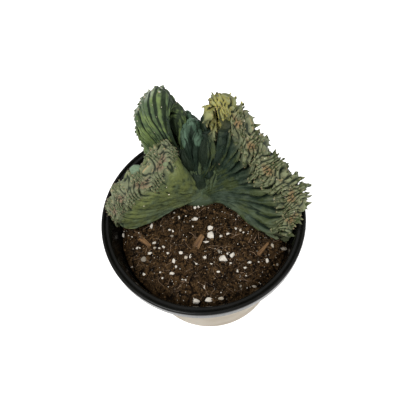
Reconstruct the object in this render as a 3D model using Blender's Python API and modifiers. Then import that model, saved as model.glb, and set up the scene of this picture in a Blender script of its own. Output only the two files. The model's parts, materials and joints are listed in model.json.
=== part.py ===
"""A crested cereus in a small pot.

The plant is one grown body: four fans of ribbed flesh that leave one foot in the soil and fold round it.
It stands in potting mix, in a black grow pot whose rim hangs on a close white cover pot.
Lengths below are in millimetres. The origin is the middle of the cover pot's underside, and +Y is the back.
"""

import math
import random

import bmesh
import bpy
import numpy as np
from mathutils import Matrix, Vector, noise

MM = 0.001
GAP = 0.3
FOOT_GAP = 0.4
BARK_GAP = 0.6

# Pots
RIM_RADIUS = 53.0
POT_HEIGHT = 75.0
COVER_BASE_RADIUS = 38.4
COVER_TOP_RADIUS = 50.3
COVER_WALL = 0.9
COVER_FLOOR = 1.5
GROW_WALL = 0.9
LIP_THICKNESS = 1.3
LIP_ROUND = 1.0
SKIRT_DEPTH = 6.5
SKIRT_WALL = 1.1
COVER_TOP = POT_HEIGHT - LIP_THICKNESS - GAP
WALL_SLOPE = (COVER_TOP_RADIUS - COVER_BASE_RADIUS) / COVER_TOP
GROW_BOTTOM = COVER_FLOOR + GAP
POT_SIDES = 48
DRAIN_HOLES = 6
DRAIN_HOLE_RADIUS = 3.5
DRAIN_CIRCLE_RADIUS = 25.0

# Soil
SOIL_MIDDLE = 65.0
SOIL_EDGE = 59.5
SOIL_RINGS = 13
SOIL_SIDES = 48
SOIL_RELIEF = 1.1
SOIL_RELIEF_SIZE = 9.0
GRAIN_COUNT = 34
GRAIN_RADII = (1.0, 2.4)
GRAIN_SEED = 11
GRAIN_FIELD = 44.0
GRAIN_LIMIT = 43.5
GRAIN_SPACE = 0.8
GRAIN_SPACE_AT_BARK = 8.0

# Bark chips: middle on the soil, the way that the long side points, and length, width and thickness
BARK = [
    {"name": "bark_chip_left", "at": (-32.5, -5.5), "turn": -48.0, "size": (9.0, 3.8, 1.6), "tilt": 8.0},
    {"name": "bark_chip_middle", "at": (-4.5, -11.5), "turn": 52.0, "size": (11.5, 5.6, 1.5), "tilt": 16.0},
    {"name": "bark_chip_right", "at": (29.0, -18.0), "turn": 42.0, "size": (9.5, 2.8, 2.2), "tilt": 6.0},
]

# Foot of the plant, which stands in a plain hole in the soil
FOOT_MIDDLE = (0.5, 17.0)
FOOT_HALF_WIDTHS = (12.0, 7.0)
FOOT_RINGS = ((46.0, 0.80), (60.0, 1.0), (66.5, 1.0), (68.6, 0.90), (70.2, 0.66), (71.2, 0.34))
ROOT_HEIGHT = 67.5
FOOT_SIDES = 28
ROOT_SPREAD = 4.0

# Flesh between the fans, as middles and radii
HEART = (((-2.0, 20.5, 78.0), (9.0, 7.0, 9.5)), ((-5.0, 23.0, 92.0), (7.0, 5.0, 12.0)))

# Fans
RIB_PITCH = 3.9
RIB_HEIGHT = 0.75
TOOTH_HEIGHT = 1.1
WAVE_HEIGHT = 1.3
WAVE_PITCH = 15.0
ROOT_TAPER = 0.45
SIDE_ROWS = 8
CAP_DEPTH = 0.9
CAP_ROWS = ((66.0, True), (40.0, False), (18.0, True))
SOIL_CLEARANCE = 1.7
POT_CLEARANCE = 1.6

COLOURS = {
    "cover_pot": ((0.74, 0.70, 0.63), 0.45),
    "grow_pot": ((0.012, 0.012, 0.012), 0.32),
    "soil": ((0.045, 0.026, 0.016), 0.95),
    "crest": ((0.085, 0.155, 0.085), 0.6),
    "bark": ((0.24, 0.12, 0.05), 0.85),
}

# Each fan: points on its growing edge, the point that its ribs spread from, how far its crown turns up,
# its half thickness, and how far from that point the ribs are let loose
FANS = {
    "left_front": {
        "edge": [(-46, 4, 72), (-48, 6, 80), (-42, 8, 94), (-35, 9, 103), (-27, 11, 108),
                 (-21, 14, 111), (-16, 18, 113), (-12, 24, 112)],
        "hub": (-3, 15, 74),
        "upright": 0.75,
        "half_thickness": 7.8,
        "spread": 0.20,
    },
    "left_back": {
        "edge": [(-24, 35, 88), (-26, 37, 98), (-26, 39, 109), (-24, 38, 120), (-20, 36, 130),
                 (-15, 34, 136), (-10, 32, 137), (-7, 31, 133), (-6, 28, 124)],
        "hub": (-6, 25, 92),
        "upright": 0.45,
        "half_thickness": 5.8,
        "spread": 0.12,
    },
    "middle": {
        "edge": [(-6, 24, 113), (-3, 25, 119), (0, 25, 121), (3, 25, 119), (5, 22, 112)],
        "hub": (-1, 22, 94),
        "upright": 0.5,
        "half_thickness": 4.6,
        "spread": 0.10,
    },
    "right": {
        "edge": [(6, 25, 115), (9, 28, 128), (14, 31, 132), (18, 31, 129), (23, 29, 123), (27, 27, 116),
                 (31, 24, 110), (34, 21, 104), (37, 18, 99), (42, 13, 95), (46, 8, 93), (50, 2, 90),
                 (51, -5, 85), (48, -12, 78), (42, -17, 71)],
        "hub": (3, 16, 78),
        "upright": 0.7,
        "half_thickness": 7.6,
        "spread": 0.22,
    },
}


def material(name):
    """A plain Principled material in the part's own colour."""
    colour, roughness = COLOURS[name]
    made = bpy.data.materials.new(name)
    made.use_nodes = True
    shader = made.node_tree.nodes["Principled BSDF"]
    shader.inputs["Base Color"].default_value = (*colour, 1.0)
    shader.inputs["Roughness"].default_value = roughness
    shader.inputs["Metallic"].default_value = 0.0
    made.diffuse_color = (*colour, 1.0)
    return made


def new_object(name, mesh, collection, colour=None):
    obj = bpy.data.objects.new(name, mesh)
    collection.objects.link(obj)
    if colour is not None:
        mesh.materials.append(colour)
    return obj


def mesh_of(name, points, faces):
    """A mesh from points in millimetres."""
    mesh = bpy.data.meshes.new(name)
    mesh.from_pydata([Vector(p) * MM for p in points], [], faces)
    work = bmesh.new()
    work.from_mesh(mesh)
    bmesh.ops.remove_doubles(work, verts=work.verts, dist=0.01 * MM)
    bmesh.ops.recalc_face_normals(work, faces=work.faces)
    work.to_mesh(mesh)
    work.free()
    return mesh


def apply_modifiers(obj):
    """The object's mesh with its modifiers applied."""
    bpy.context.view_layer.update()
    graph = bpy.context.evaluated_depsgraph_get()
    made = bpy.data.meshes.new_from_object(obj.evaluated_get(graph))
    obj.modifiers.clear()
    old = obj.data
    obj.data = made
    bpy.data.meshes.remove(old)


def shade(obj, angle=35.0):
    obj.data.shade_smooth()
    obj.data.set_sharp_from_angle(angle=math.radians(angle))


def arc(centre, radius, start, end, steps):
    """Points on an arc in the profile's plane, with the angles in degrees."""
    points = []
    for i in range(steps + 1):
        angle = math.radians(start + (end - start) * i / steps)
        points.append((centre[0] + radius * math.cos(angle), centre[1] + radius * math.sin(angle)))
    return points


def turned(name, profile, sides, collection, colour):
    """A solid turned round Z from a profile of (radius, height), up the inside and down the outside."""
    mesh = bpy.data.meshes.new(name)
    edges = [(i, i + 1) for i in range(len(profile) - 1)]
    mesh.from_pydata([(r * MM, 0.0, z * MM) for r, z in profile], edges, [])
    obj = new_object(name, mesh, collection, colour)
    screw = obj.modifiers.new("turn", "SCREW")
    screw.axis = "Z"
    screw.angle = math.tau
    screw.steps = sides
    screw.render_steps = sides
    screw.use_merge_vertices = True
    screw.merge_threshold = 0.00002
    screw.use_smooth_shade = True
    apply_modifiers(obj)
    obj.data.materials.clear()
    obj.data.materials.append(colour)
    return obj


def cover_radius(z):
    """Outer radius of the cover pot at a height."""
    return COVER_BASE_RADIUS + WALL_SLOPE * z


def grow_inner_radius(z):
    """Radius of the grow pot's inner wall at a height."""
    return cover_radius(z) - COVER_WALL - GAP - GROW_WALL


def make_cover_pot(collection):
    edge = 0.4
    inner_floor = cover_radius(COVER_FLOOR) - COVER_WALL
    profile = [(0.0, COVER_FLOOR), (inner_floor, COVER_FLOOR)]
    profile += [(COVER_TOP_RADIUS - COVER_WALL, COVER_TOP), (COVER_TOP_RADIUS, COVER_TOP)]
    profile += arc((COVER_BASE_RADIUS - edge, edge), edge, 0, -90, 2)
    profile += [(0.0, 0.0)]
    return turned("cover_pot", profile, POT_SIDES, collection, material("cover_pot"))


def make_grow_pot(collection, cutters):
    floor_top = GROW_BOTTOM + GROW_WALL
    inner_top = grow_inner_radius(POT_HEIGHT - 3.0)
    outer_top = inner_top + GROW_WALL
    lip_under = POT_HEIGHT - LIP_THICKNESS
    skirt_bottom = POT_HEIGHT - SKIRT_DEPTH
    profile = [(0.0, floor_top), (grow_inner_radius(floor_top), floor_top)]
    profile += [(inner_top, POT_HEIGHT - 3.0), (inner_top + 0.9, POT_HEIGHT - 0.7)]
    profile += [(inner_top + 1.6, POT_HEIGHT)]
    profile += [(RIM_RADIUS - 2.4, POT_HEIGHT), (RIM_RADIUS - 1.9, POT_HEIGHT - 0.4)]
    profile += arc((RIM_RADIUS - LIP_ROUND, POT_HEIGHT - 0.4 - LIP_ROUND), LIP_ROUND, 90, 0, 3)
    profile += [(RIM_RADIUS - 0.3, skirt_bottom), (RIM_RADIUS - SKIRT_WALL, skirt_bottom)]
    profile += [(RIM_RADIUS - SKIRT_WALL - 0.3, lip_under), (outer_top + 0.2, lip_under)]
    profile += [(cover_radius(GROW_BOTTOM) - COVER_WALL - GAP, GROW_BOTTOM), (0.0, GROW_BOTTOM)]
    pot = turned("grow_pot", profile, POT_SIDES, collection, material("grow_pot"))
    for i in range(DRAIN_HOLES):
        angle = math.tau * i / DRAIN_HOLES
        bpy.ops.mesh.primitive_cylinder_add(
            vertices=12,
            radius=DRAIN_HOLE_RADIUS * MM,
            depth=6.0 * MM,
            location=(
                DRAIN_CIRCLE_RADIUS * math.cos(angle) * MM,
                DRAIN_CIRCLE_RADIUS * math.sin(angle) * MM,
                GROW_BOTTOM * MM,
            ),
        )
        move_to(bpy.context.object, cutters, f"drain_cutter_{i + 1}")
    cut(pot, cutters)
    return pot


def move_to(obj, collection, name):
    """Names a primitive and puts it in its collection."""
    obj.name = name
    for other in list(obj.users_collection):
        other.objects.unlink(obj)
    collection.objects.link(obj)


def cut(obj, cutters):
    """Cuts a collection of closed shapes out of the object, then removes them."""
    boolean = obj.modifiers.new("cut", "BOOLEAN")
    boolean.operation = "DIFFERENCE"
    boolean.operand_type = "COLLECTION"
    boolean.collection = cutters
    boolean.solver = "EXACT"
    apply_modifiers(obj)
    for cutter in list(cutters.objects):
        bpy.data.objects.remove(cutter)


def fuse(obj, others, solver="EXACT"):
    """Joins a collection of closed shapes to the object, then removes them."""
    boolean = obj.modifiers.new("fuse", "BOOLEAN")
    boolean.operation = "UNION"
    boolean.operand_type = "COLLECTION"
    boolean.collection = others
    boolean.solver = solver
    apply_modifiers(obj)
    for other in list(others.objects):
        bpy.data.objects.remove(other)


def keep_largest_shell(obj):
    """Fills the small hollows that fusing seals, by dropping every shell but the outer one."""
    work = bmesh.new()
    work.from_mesh(obj.data)
    left = set(work.faces)
    shells = []
    while left:
        front = [left.pop()]
        shell = list(front)
        while front:
            near = {other for face in front for edge in face.edges for other in edge.link_faces} & left
            left -= near
            shell += near
            front = list(near)
        shells.append(shell)
    shells.sort(key=len)
    bmesh.ops.delete(work, geom=[face for shell in shells[:-1] for face in shell], context="FACES")
    work.to_mesh(obj.data)
    work.free()


def soil_height(x, y):
    """The soil's surface: a low mound with clods."""
    r = math.hypot(x, y) / grow_inner_radius(SOIL_EDGE)
    mound = SOIL_MIDDLE - (SOIL_MIDDLE - SOIL_EDGE) * min(r, 1.0) ** 2.4
    place = Vector((x, y, 3.0)) / SOIL_RELIEF_SIZE
    return mound + SOIL_RELIEF * (noise.noise(place) + 0.5 * noise.noise(place * 2.3))


def soil_radius(z):
    return grow_inner_radius(z) - GAP


def make_soil(collection, grains, cutters):
    bottom = GROW_BOTTOM + GROW_WALL + GAP
    edge = soil_radius(SOIL_EDGE)
    profile = [(edge * i / SOIL_RINGS, SOIL_EDGE) for i in range(SOIL_RINGS)]
    profile += [(edge, SOIL_EDGE), (soil_radius(bottom), bottom), (0.0, bottom)]
    soil = turned("soil", profile, SOIL_SIDES, collection, material("soil"))
    for vertex in soil.data.vertices:
        x, y, z = vertex.co / MM
        r = math.hypot(x, y)
        if z > SOIL_EDGE - 1.0 and r < edge - 0.5:
            vertex.co.z = soil_height(x, y) * MM
    add_grains(grains)
    fuse(soil, grains)
    add_foot(cutters, "foot_cutter", FOOT_GAP)
    for spec in BARK:
        add_chip(cutters, f"{spec['name']}_cutter", spec, BARK_GAP)
    cut(soil, cutters)
    return soil


def add_chip(collection, name, spec, grow=0.0):
    """A flat splinter of bark, narrower at one end, half sunk in the soil."""
    length, width, thickness = (side + 2 * grow for side in spec["size"])
    x, y = spec["at"]
    mesh = bpy.data.meshes.new(name)
    work = bmesh.new()
    bmesh.ops.create_cube(work, size=1.0)
    bmesh.ops.subdivide_edges(
        work, edges=[e for e in work.edges if abs(e.verts[0].co.x - e.verts[1].co.x) > 0.5], cuts=2
    )
    for vertex in work.verts:
        along = vertex.co.x + 0.5
        taper = 1.0 - 0.45 * along
        vertex.co.y *= taper
        vertex.co.z += 0.25 * math.sin(math.pi * along)
        vertex.co = Vector((vertex.co.x * length, vertex.co.y * width, vertex.co.z * thickness)) * MM
    place = Matrix.Translation(Vector((x, y, soil_height(x, y) + 0.15 * spec["size"][2])) * MM)
    turn = Matrix.Rotation(math.radians(spec["turn"]), 4, "Z")
    tilt = Matrix.Rotation(math.radians(-spec["tilt"]), 4, "Y")
    bmesh.ops.transform(work, matrix=place @ turn @ tilt, verts=work.verts)
    bmesh.ops.recalc_face_normals(work, faces=work.faces)
    work.to_mesh(mesh)
    work.free()
    return new_object(name, mesh, collection)


def add_grains(collection):
    """Grains of perlite that stand out of the front of the soil."""
    draw = random.Random(GRAIN_SEED)
    placed = []
    while len(placed) < GRAIN_COUNT:
        angle = draw.uniform(math.radians(185), math.radians(355))
        r = GRAIN_FIELD * math.sqrt(draw.uniform(0.02, 1.0))
        x, y = r * math.cos(angle), r * math.sin(angle)
        size = draw.uniform(*GRAIN_RADII)
        near_bark = any(math.dist((x, y), spec["at"]) < GRAIN_SPACE_AT_BARK for spec in BARK)
        crowded = any(math.dist((x, y), other[:2]) < size + other[2] + GRAIN_SPACE for other in placed)
        under_plant = y > -0.30 * abs(x) - 1.0
        if near_bark or crowded or under_plant or r + size > GRAIN_LIMIT:
            continue
        placed.append((x, y, size))
        mesh = bpy.data.meshes.new("grain")
        work = bmesh.new()
        bmesh.ops.create_icosphere(work, subdivisions=1, radius=size * MM)
        stretch = Matrix.Diagonal((1.15, draw.uniform(0.75, 0.95), draw.uniform(0.7, 0.9), 1.0))
        spin = Matrix.Rotation(draw.uniform(0, math.tau), 4, "Z")
        tip = Matrix.Rotation(draw.uniform(0, 1.0), 4, "X")
        place = Matrix.Translation(Vector((x, y, soil_height(x, y) + 0.2 * size)) * MM)
        bmesh.ops.transform(work, matrix=place @ spin @ tip @ stretch, verts=work.verts)
        work.to_mesh(mesh)
        work.free()
        new_object(f"grain_{len(placed)}", mesh, collection)


def add_foot(collection, name, grow=0.0):
    """The plant's foot: an upright ellipse with a domed top, wider by grow where it cuts the soil."""
    half_x, half_y = (half + grow for half in FOOT_HALF_WIDTHS)
    points = []
    for height, scale in FOOT_RINGS:
        z = height - grow if height == FOOT_RINGS[0][0] else height + grow
        for i in range(FOOT_SIDES):
            angle = math.tau * i / FOOT_SIDES
            points.append(
                (
                    FOOT_MIDDLE[0] + half_x * scale * math.cos(angle),
                    FOOT_MIDDLE[1] + half_y * scale * math.sin(angle),
                    z,
                )
            )
    faces = [tuple(reversed(range(FOOT_SIDES)))]
    for ring in range(len(FOOT_RINGS) - 1):
        for i in range(FOOT_SIDES):
            a = ring * FOOT_SIDES + i
            b = ring * FOOT_SIDES + (i + 1) % FOOT_SIDES
            faces.append((a, b, b + FOOT_SIDES, a + FOOT_SIDES))
    top = (len(FOOT_RINGS) - 1) * FOOT_SIDES
    faces.append(tuple(range(top, top + FOOT_SIDES)))
    return new_object(name, mesh_of(name, points, faces), collection)


def spline(points, count):
    """Points at even distances along a smooth curve through the given ones."""
    p = np.array(points, float)
    p = np.vstack([2 * p[0] - p[1], p, 2 * p[-1] - p[-2]])
    fine = []
    for i in range(1, len(p) - 2):
        for t in np.linspace(0, 1, 24, endpoint=False):
            a, b, c, d = p[i - 1], p[i], p[i + 1], p[i + 2]
            bend = (2 * a - 5 * b + 4 * c - d) * t**2 + (3 * b - a - 3 * c + d) * t**3
            fine.append(0.5 * (2 * b + (c - a) * t + bend))
    fine.append(p[-2])
    fine = np.array(fine)
    along = np.concatenate([[0.0], np.cumsum(np.linalg.norm(np.diff(fine, axis=0), axis=1))])
    wanted = np.linspace(0, along[-1], count)
    return np.stack([np.interp(wanted, along, fine[:, k]) for k in range(3)], axis=1), along[-1]


def unit(v):
    return v / np.maximum(np.linalg.norm(v, axis=-1, keepdims=True), 1e-9)


def keep_clear(points):
    """Holds the flesh off the soil, and off the rim and wall of the pot."""
    out = points.copy()
    for i, (x, y, z) in enumerate(points):
        inside_foot = ((x - FOOT_MIDDLE[0]) / FOOT_HALF_WIDTHS[0]) ** 2 + (
            (y - FOOT_MIDDLE[1]) / FOOT_HALF_WIDTHS[1]
        ) ** 2
        z = max(z, soil_height(x, y) + (SOIL_CLEARANCE if inside_foot > 0.7 else 0.6))
        r = math.hypot(x, y)
        reach = grow_inner_radius(min(z, POT_HEIGHT - 3.0)) - POT_CLEARANCE
        reach += max(0.0, z - POT_HEIGHT - 1.0)
        if r > reach:
            x, y = x * reach / r, y * reach / r
        out[i] = x, y, z
    return out


def fan_points(spec, columns, rows):
    """Middle, side direction and outward direction of a fan's sheet, as arrays of (columns, rows, 3)."""
    edge, length = spline(spec["edge"], columns)
    hub = np.array(spec["hub"], float)
    u = np.linspace(0, 1, columns)[:, None]
    root = np.array([*FOOT_MIDDLE, ROOT_HEIGHT]) + (u - 0.5) * np.array([ROOT_SPREAD, 0.0, 0.0])
    out = unit(unit(edge - hub) * (1 - spec["upright"]) + np.array([0.0, 0.0, spec["upright"]]))
    reach = np.linalg.norm(edge - hub, axis=1, keepdims=True)
    first = hub + spec["spread"] * (edge - hub) - np.array([0.0, 0.0, 4.0])
    second = edge - 0.40 * reach * out
    v = np.linspace(0, 1, rows)[None, :, None]
    a, b, c, d = (q[:, None, :] for q in (root, first, second, edge))
    sheet = (1 - v) ** 3 * a + 3 * (1 - v) ** 2 * v * b + 3 * (1 - v) * v**2 * c + v**3 * d
    along = np.gradient(sheet, axis=0)
    up = np.gradient(sheet, axis=1)
    side = unit(np.cross(along, up))
    wave = WAVE_HEIGHT * np.sin(math.tau * length * u / WAVE_PITCH) * np.sin(math.pi * u) ** 0.5
    sheet = sheet + side * (wave[:, None] * v**3)
    return sheet, side, unit(up)


def add_fan(collection, name, spec):
    """One fan of flesh: a thick sheet with a rounded growing edge, ribbed faces and teeth at the edge."""
    _, length = spline(spec["edge"], 50)
    ribs = max(4, round(length / RIB_PITCH))
    columns = 2 * ribs + 1
    sheet, side, up = fan_points(spec, columns, SIDE_ROWS)
    half = spec["half_thickness"]
    u = np.linspace(0, 1, columns)
    from_end = np.minimum(u, 1 - u) * length
    round_end = np.sqrt(np.clip(1 - (1 - np.clip(from_end / (1.1 * half), 0, 1)) ** 2, 0, 1))
    ridge = np.where(np.arange(columns) % 2 == 1, 1.0, -1.0)
    v = np.linspace(0, 1, SIDE_ROWS)
    body = half * (0.78 + 0.22 * np.sin(np.pi * np.clip((v - 0.35) / 0.65, 0, 1)))
    body = body * (1 - ROOT_TAPER * (1 - v) ** 2)
    points_side = {}
    for sign in (-1, 1):
        rows = []
        for j in range(SIDE_ROWS):
            rib = np.clip((v[j] - 0.4) / 0.5, 0, 1) * RIB_HEIGHT * ridge
            offset = (body[j] + rib) * round_end
            drop = up[:, -1] * half * CAP_DEPTH * v[j] ** 3
            rows.append(sheet[:, j] + sign * side[:, j] * offset[:, None] - drop)
        for degrees, tooth in CAP_ROWS:
            angle = math.radians(degrees)
            lift = RIB_HEIGHT * ridge + (TOOTH_HEIGHT * (ridge > 0) if tooth else 0.0)
            radius = (body[-1] + lift) * round_end
            radius_up = half * CAP_DEPTH + lift
            centre = sheet[:, -1] - up[:, -1] * half * CAP_DEPTH
            rows.append(
                centre
                + sign * side[:, -1] * (radius * math.sin(angle))[:, None]
                + up[:, -1] * (radius_up * math.cos(angle))[:, None]
            )
        points_side[sign] = rows
    top = sheet[:, -1] + up[:, -1] * (0.2 * RIB_HEIGHT * ridge)[:, None]
    rows = points_side[-1] + [top] + points_side[1][::-1]
    grid = np.array(rows).transpose(1, 0, 2)
    count = grid.shape[1]
    for k in range(count):
        mirror = count - 1 - k
        for end in (0, columns - 1):
            if k < mirror:
                middle = (grid[end, k] + grid[end, mirror]) / 2
                grid[end, k] = grid[end, mirror] = middle
    flat = keep_clear(grid.reshape(-1, 3))
    faces = []
    for i in range(columns - 1):
        for k in range(count - 1):
            a = i * count + k
            faces.append((a, a + 1, a + count + 1, a + count))
        faces.append((i * count + count - 1, i * count, (i + 1) * count, (i + 1) * count + count - 1))
    mesh = mesh_of(name, flat, faces)
    return new_object(name, mesh, collection)


def add_heart(collection):
    """The flesh that fills the narrow gaps where the fans leave the foot."""
    for i, (place, radii) in enumerate(HEART):
        mesh = bpy.data.meshes.new("heart")
        work = bmesh.new()
        bmesh.ops.create_icosphere(work, subdivisions=2, radius=1.0 * MM)
        bmesh.ops.transform(work, matrix=Matrix.Diagonal((*radii, 1.0)), verts=work.verts)
        bmesh.ops.translate(work, vec=Vector(place) * MM, verts=work.verts)
        work.to_mesh(mesh)
        work.free()
        new_object(f"heart_{i + 1}", mesh, collection)


def make_crest(collection, pieces):
    """The whole plant above and below the soil, as one body."""
    for name, spec in FANS.items():
        add_fan(pieces, f"fan_{name}", spec)
    add_heart(pieces)
    crest = add_foot(collection, "crest")
    crest.data.materials.append(material("crest"))
    fuse(crest, pieces, "MANIFOLD")
    keep_largest_shell(crest)
    return crest


def clear_scene():
    for obj in list(bpy.data.objects):
        bpy.data.objects.remove(obj)
    for collection in list(bpy.data.collections):
        bpy.data.collections.remove(collection)


def new_collection(name):
    made = bpy.data.collections.new(name)
    bpy.context.scene.collection.children.link(made)
    return made


def main():
    clear_scene()
    plant = new_collection("potted_cereus")
    cutters = new_collection("cutters")
    joined = new_collection("joined")
    make_cover_pot(plant)
    shade(make_grow_pot(plant, cutters))
    make_soil(plant, joined, cutters)
    make_crest(plant, joined)
    bark = material("bark")
    for spec in BARK:
        chip = add_chip(plant, spec["name"], spec)
        chip.data.materials.append(bark)


main()
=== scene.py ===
"""Looks of the crested cereus in its pot: the ribbed plant, the potting mix, the two pots, light and camera.

Lengths are in millimetres unless a name says otherwise, and MM turns them into metres.
"""

import json
import math
import random

import bmesh
import bpy
import numpy as np
from mathutils import Matrix, Vector, noise
from mathutils.bvhtree import BVHTree

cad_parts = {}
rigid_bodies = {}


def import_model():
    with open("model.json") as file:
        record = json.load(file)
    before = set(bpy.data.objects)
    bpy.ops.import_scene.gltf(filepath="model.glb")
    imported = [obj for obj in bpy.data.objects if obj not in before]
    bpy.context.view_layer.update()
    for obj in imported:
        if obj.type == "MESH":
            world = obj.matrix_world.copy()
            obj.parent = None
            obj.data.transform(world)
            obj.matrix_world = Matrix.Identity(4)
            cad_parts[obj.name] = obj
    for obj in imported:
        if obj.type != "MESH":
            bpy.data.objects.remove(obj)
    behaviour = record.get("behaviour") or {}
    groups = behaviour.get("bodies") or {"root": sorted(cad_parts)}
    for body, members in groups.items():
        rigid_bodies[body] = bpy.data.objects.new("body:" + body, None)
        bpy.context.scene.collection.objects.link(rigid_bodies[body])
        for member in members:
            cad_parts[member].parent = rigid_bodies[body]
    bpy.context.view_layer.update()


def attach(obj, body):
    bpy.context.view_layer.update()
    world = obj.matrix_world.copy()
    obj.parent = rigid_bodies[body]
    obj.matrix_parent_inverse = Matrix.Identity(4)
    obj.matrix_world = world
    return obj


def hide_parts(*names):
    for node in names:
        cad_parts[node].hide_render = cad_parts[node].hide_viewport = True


MM = 0.001
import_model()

# Starting numbers of the random draws
SEEDS = {"crumbs": 17, "fibres": 41, "perlite": 5, "bark": 29, "outline": 71, "tufts": 83}

# Camera, as fitted to the rim's ellipse in the photograph
PHOTO_SIZE = 416
VIEW_ANGLE = 42.0
ELEVATION = 62.5
ROLL = -7.2
RIM_MIDDLE_PIXEL = (202.6, 214.7)
CAMERA_DISTANCE = 279.84

# Pots
RIM_RADIUS = 53.0
POT_HEIGHT = 75.0
COVER_BASE_RADIUS = 38.4
COVER_TOP_RADIUS = 50.3
COVER_TOP = 73.4
COVER_WALL = 0.9
COVER_FLOOR = 1.5
GROW_WALL = 0.9
GROW_BOTTOM = 1.8
SKIRT_DEPTH = 6.5
SKIRT_WALL = 1.1
LIP_THICKNESS = 1.3
DRAIN_HOLES = 6
DRAIN_HOLE_RADIUS = 3.5
DRAIN_CIRCLE_RADIUS = 25.0
GAP = 0.3
POT_STEPS = 192
SHARP_ANGLE = 40
DRAIN_CUTTER_LENGTH = 6.0
COVER_CORNER = 1.2
MERGE_METRES = 0.00002
WALL_SLOPE = (COVER_TOP_RADIUS - COVER_BASE_RADIUS) / COVER_TOP

# Soil
SOIL_MIDDLE = 65.0
SOIL_EDGE = 59.5
SOIL_RELIEF = 1.1
SOIL_RELIEF_SIZE = 9.0
SOIL_STEP = 0.5
SOIL_EDGE_DROP = 4.5
SOIL_SECTORS = 420
CLODS = ((0.55, 2.6, 11), (0.45, 1.3, 23))
CRACK_SIZE = 7.5
CRACK_DEPTH = 0.9
CRUMB_COUNT = 5200
FIBRE_COUNT = 420
SPECK_COUNT = 460
FIBRE_STEPS = 7
FIBRE_SIDES = 3
CRUMB_MARGIN = 1.0
FIBRE_MARGIN = 3.0
FIBRE_END_MARGIN = 1.2
PERLITE_MARGIN = 1.6

# Plant
FOOT_MIDDLE = (0.5, 17.0)
FOOT_HALF_WIDTHS = (12.0, 7.0)
FOOT_RINGS = ((46.0, 0.80), (60.0, 1.0), (66.5, 1.0), (68.6, 0.90), (70.2, 0.66), (71.2, 0.34))
ROOT_HEIGHT = 67.5
ROOT_TAPER = 0.45
WAVE_HEIGHT = 1.3
WAVE_PITCH = 15.0
CAP_DEPTH = 0.9
SOIL_CLEARANCE = 1.7
POT_CLEARANCE = 1.6
PLANT_MIDDLE = (0, 20, 90)

# The heart of the plant, where the fans join: the middle and radii of each folded swelling
HEART = (
    ((-2.0, 20.5, 78.0), (9.0, 7.0, 9.5)),
    ((-5.0, 23.0, 92.0), (7.0, 5.0, 12.0)),
    ((7.5, 22.0, 95.0), (6.5, 5.5, 17.0)),
)

# Fans, by the numbers that each is made from: FAN for all of them, LOBE for the three small ones.
# Form: points on the growing edge, the hub that the ribs spread from, how far the crown turns up, half the
# thickness, how far from the hub the ribs are let loose, and where the fan is rooted and over what span.
# Growing line: how far it lies from the top of the crown along the edge, and how far it winds at its knots.
# Ribs: how far apart, how many fine ones a broad one splits into, how high, where broad ones fade as they
# crowd together, how far from the line fine ones reach, how they wander, and how deep thin lines are.
# Fingers and teeth: length and height or half width, how far from the line they grow, and the stretch of
# the edge past which none grow. Colour: face, blotches, crown and felt, how streaked, how much of the
# base's colour, whether it ends in the yellow knob, and how much painted shade darkens it far from the
# line, from where, and at its end.
FAN = {
    "root_at": (*FOOT_MIDDLE, ROOT_HEIGHT), "root_span": (4.0, 0.0), "inset": 0.0,
    "line_shift": [(0, 0), (1, 0)], "knots": (), "meander": 0.0, "split": 2, "broad_fade": (0.20, 0.72),
    "thin_lines": 0.0, "bare": (2.0, 3.0), "knob": 0.0, "streaks": 1.0, "base": 1.0, "sunk": 0.0,
    "sunk_from": 9.0, "dim_end": 0.0,
}
LOBE = FAN | {
    "upright": 0.5, "half_thickness": 4.0, "pitch": 3.9, "rib_depth": 0.4, "ribs_to": 18.0, "tangle": 1.0,
    "finger": (2.4, 0.6), "fingers_to": 5.0, "tooth": (0.8, 0.5), "bare": (-1.0, 0.0),
    "blotch": (0.026, 0.048, 0.030), "felt": (0.100, 0.090, 0.050),
}
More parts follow.
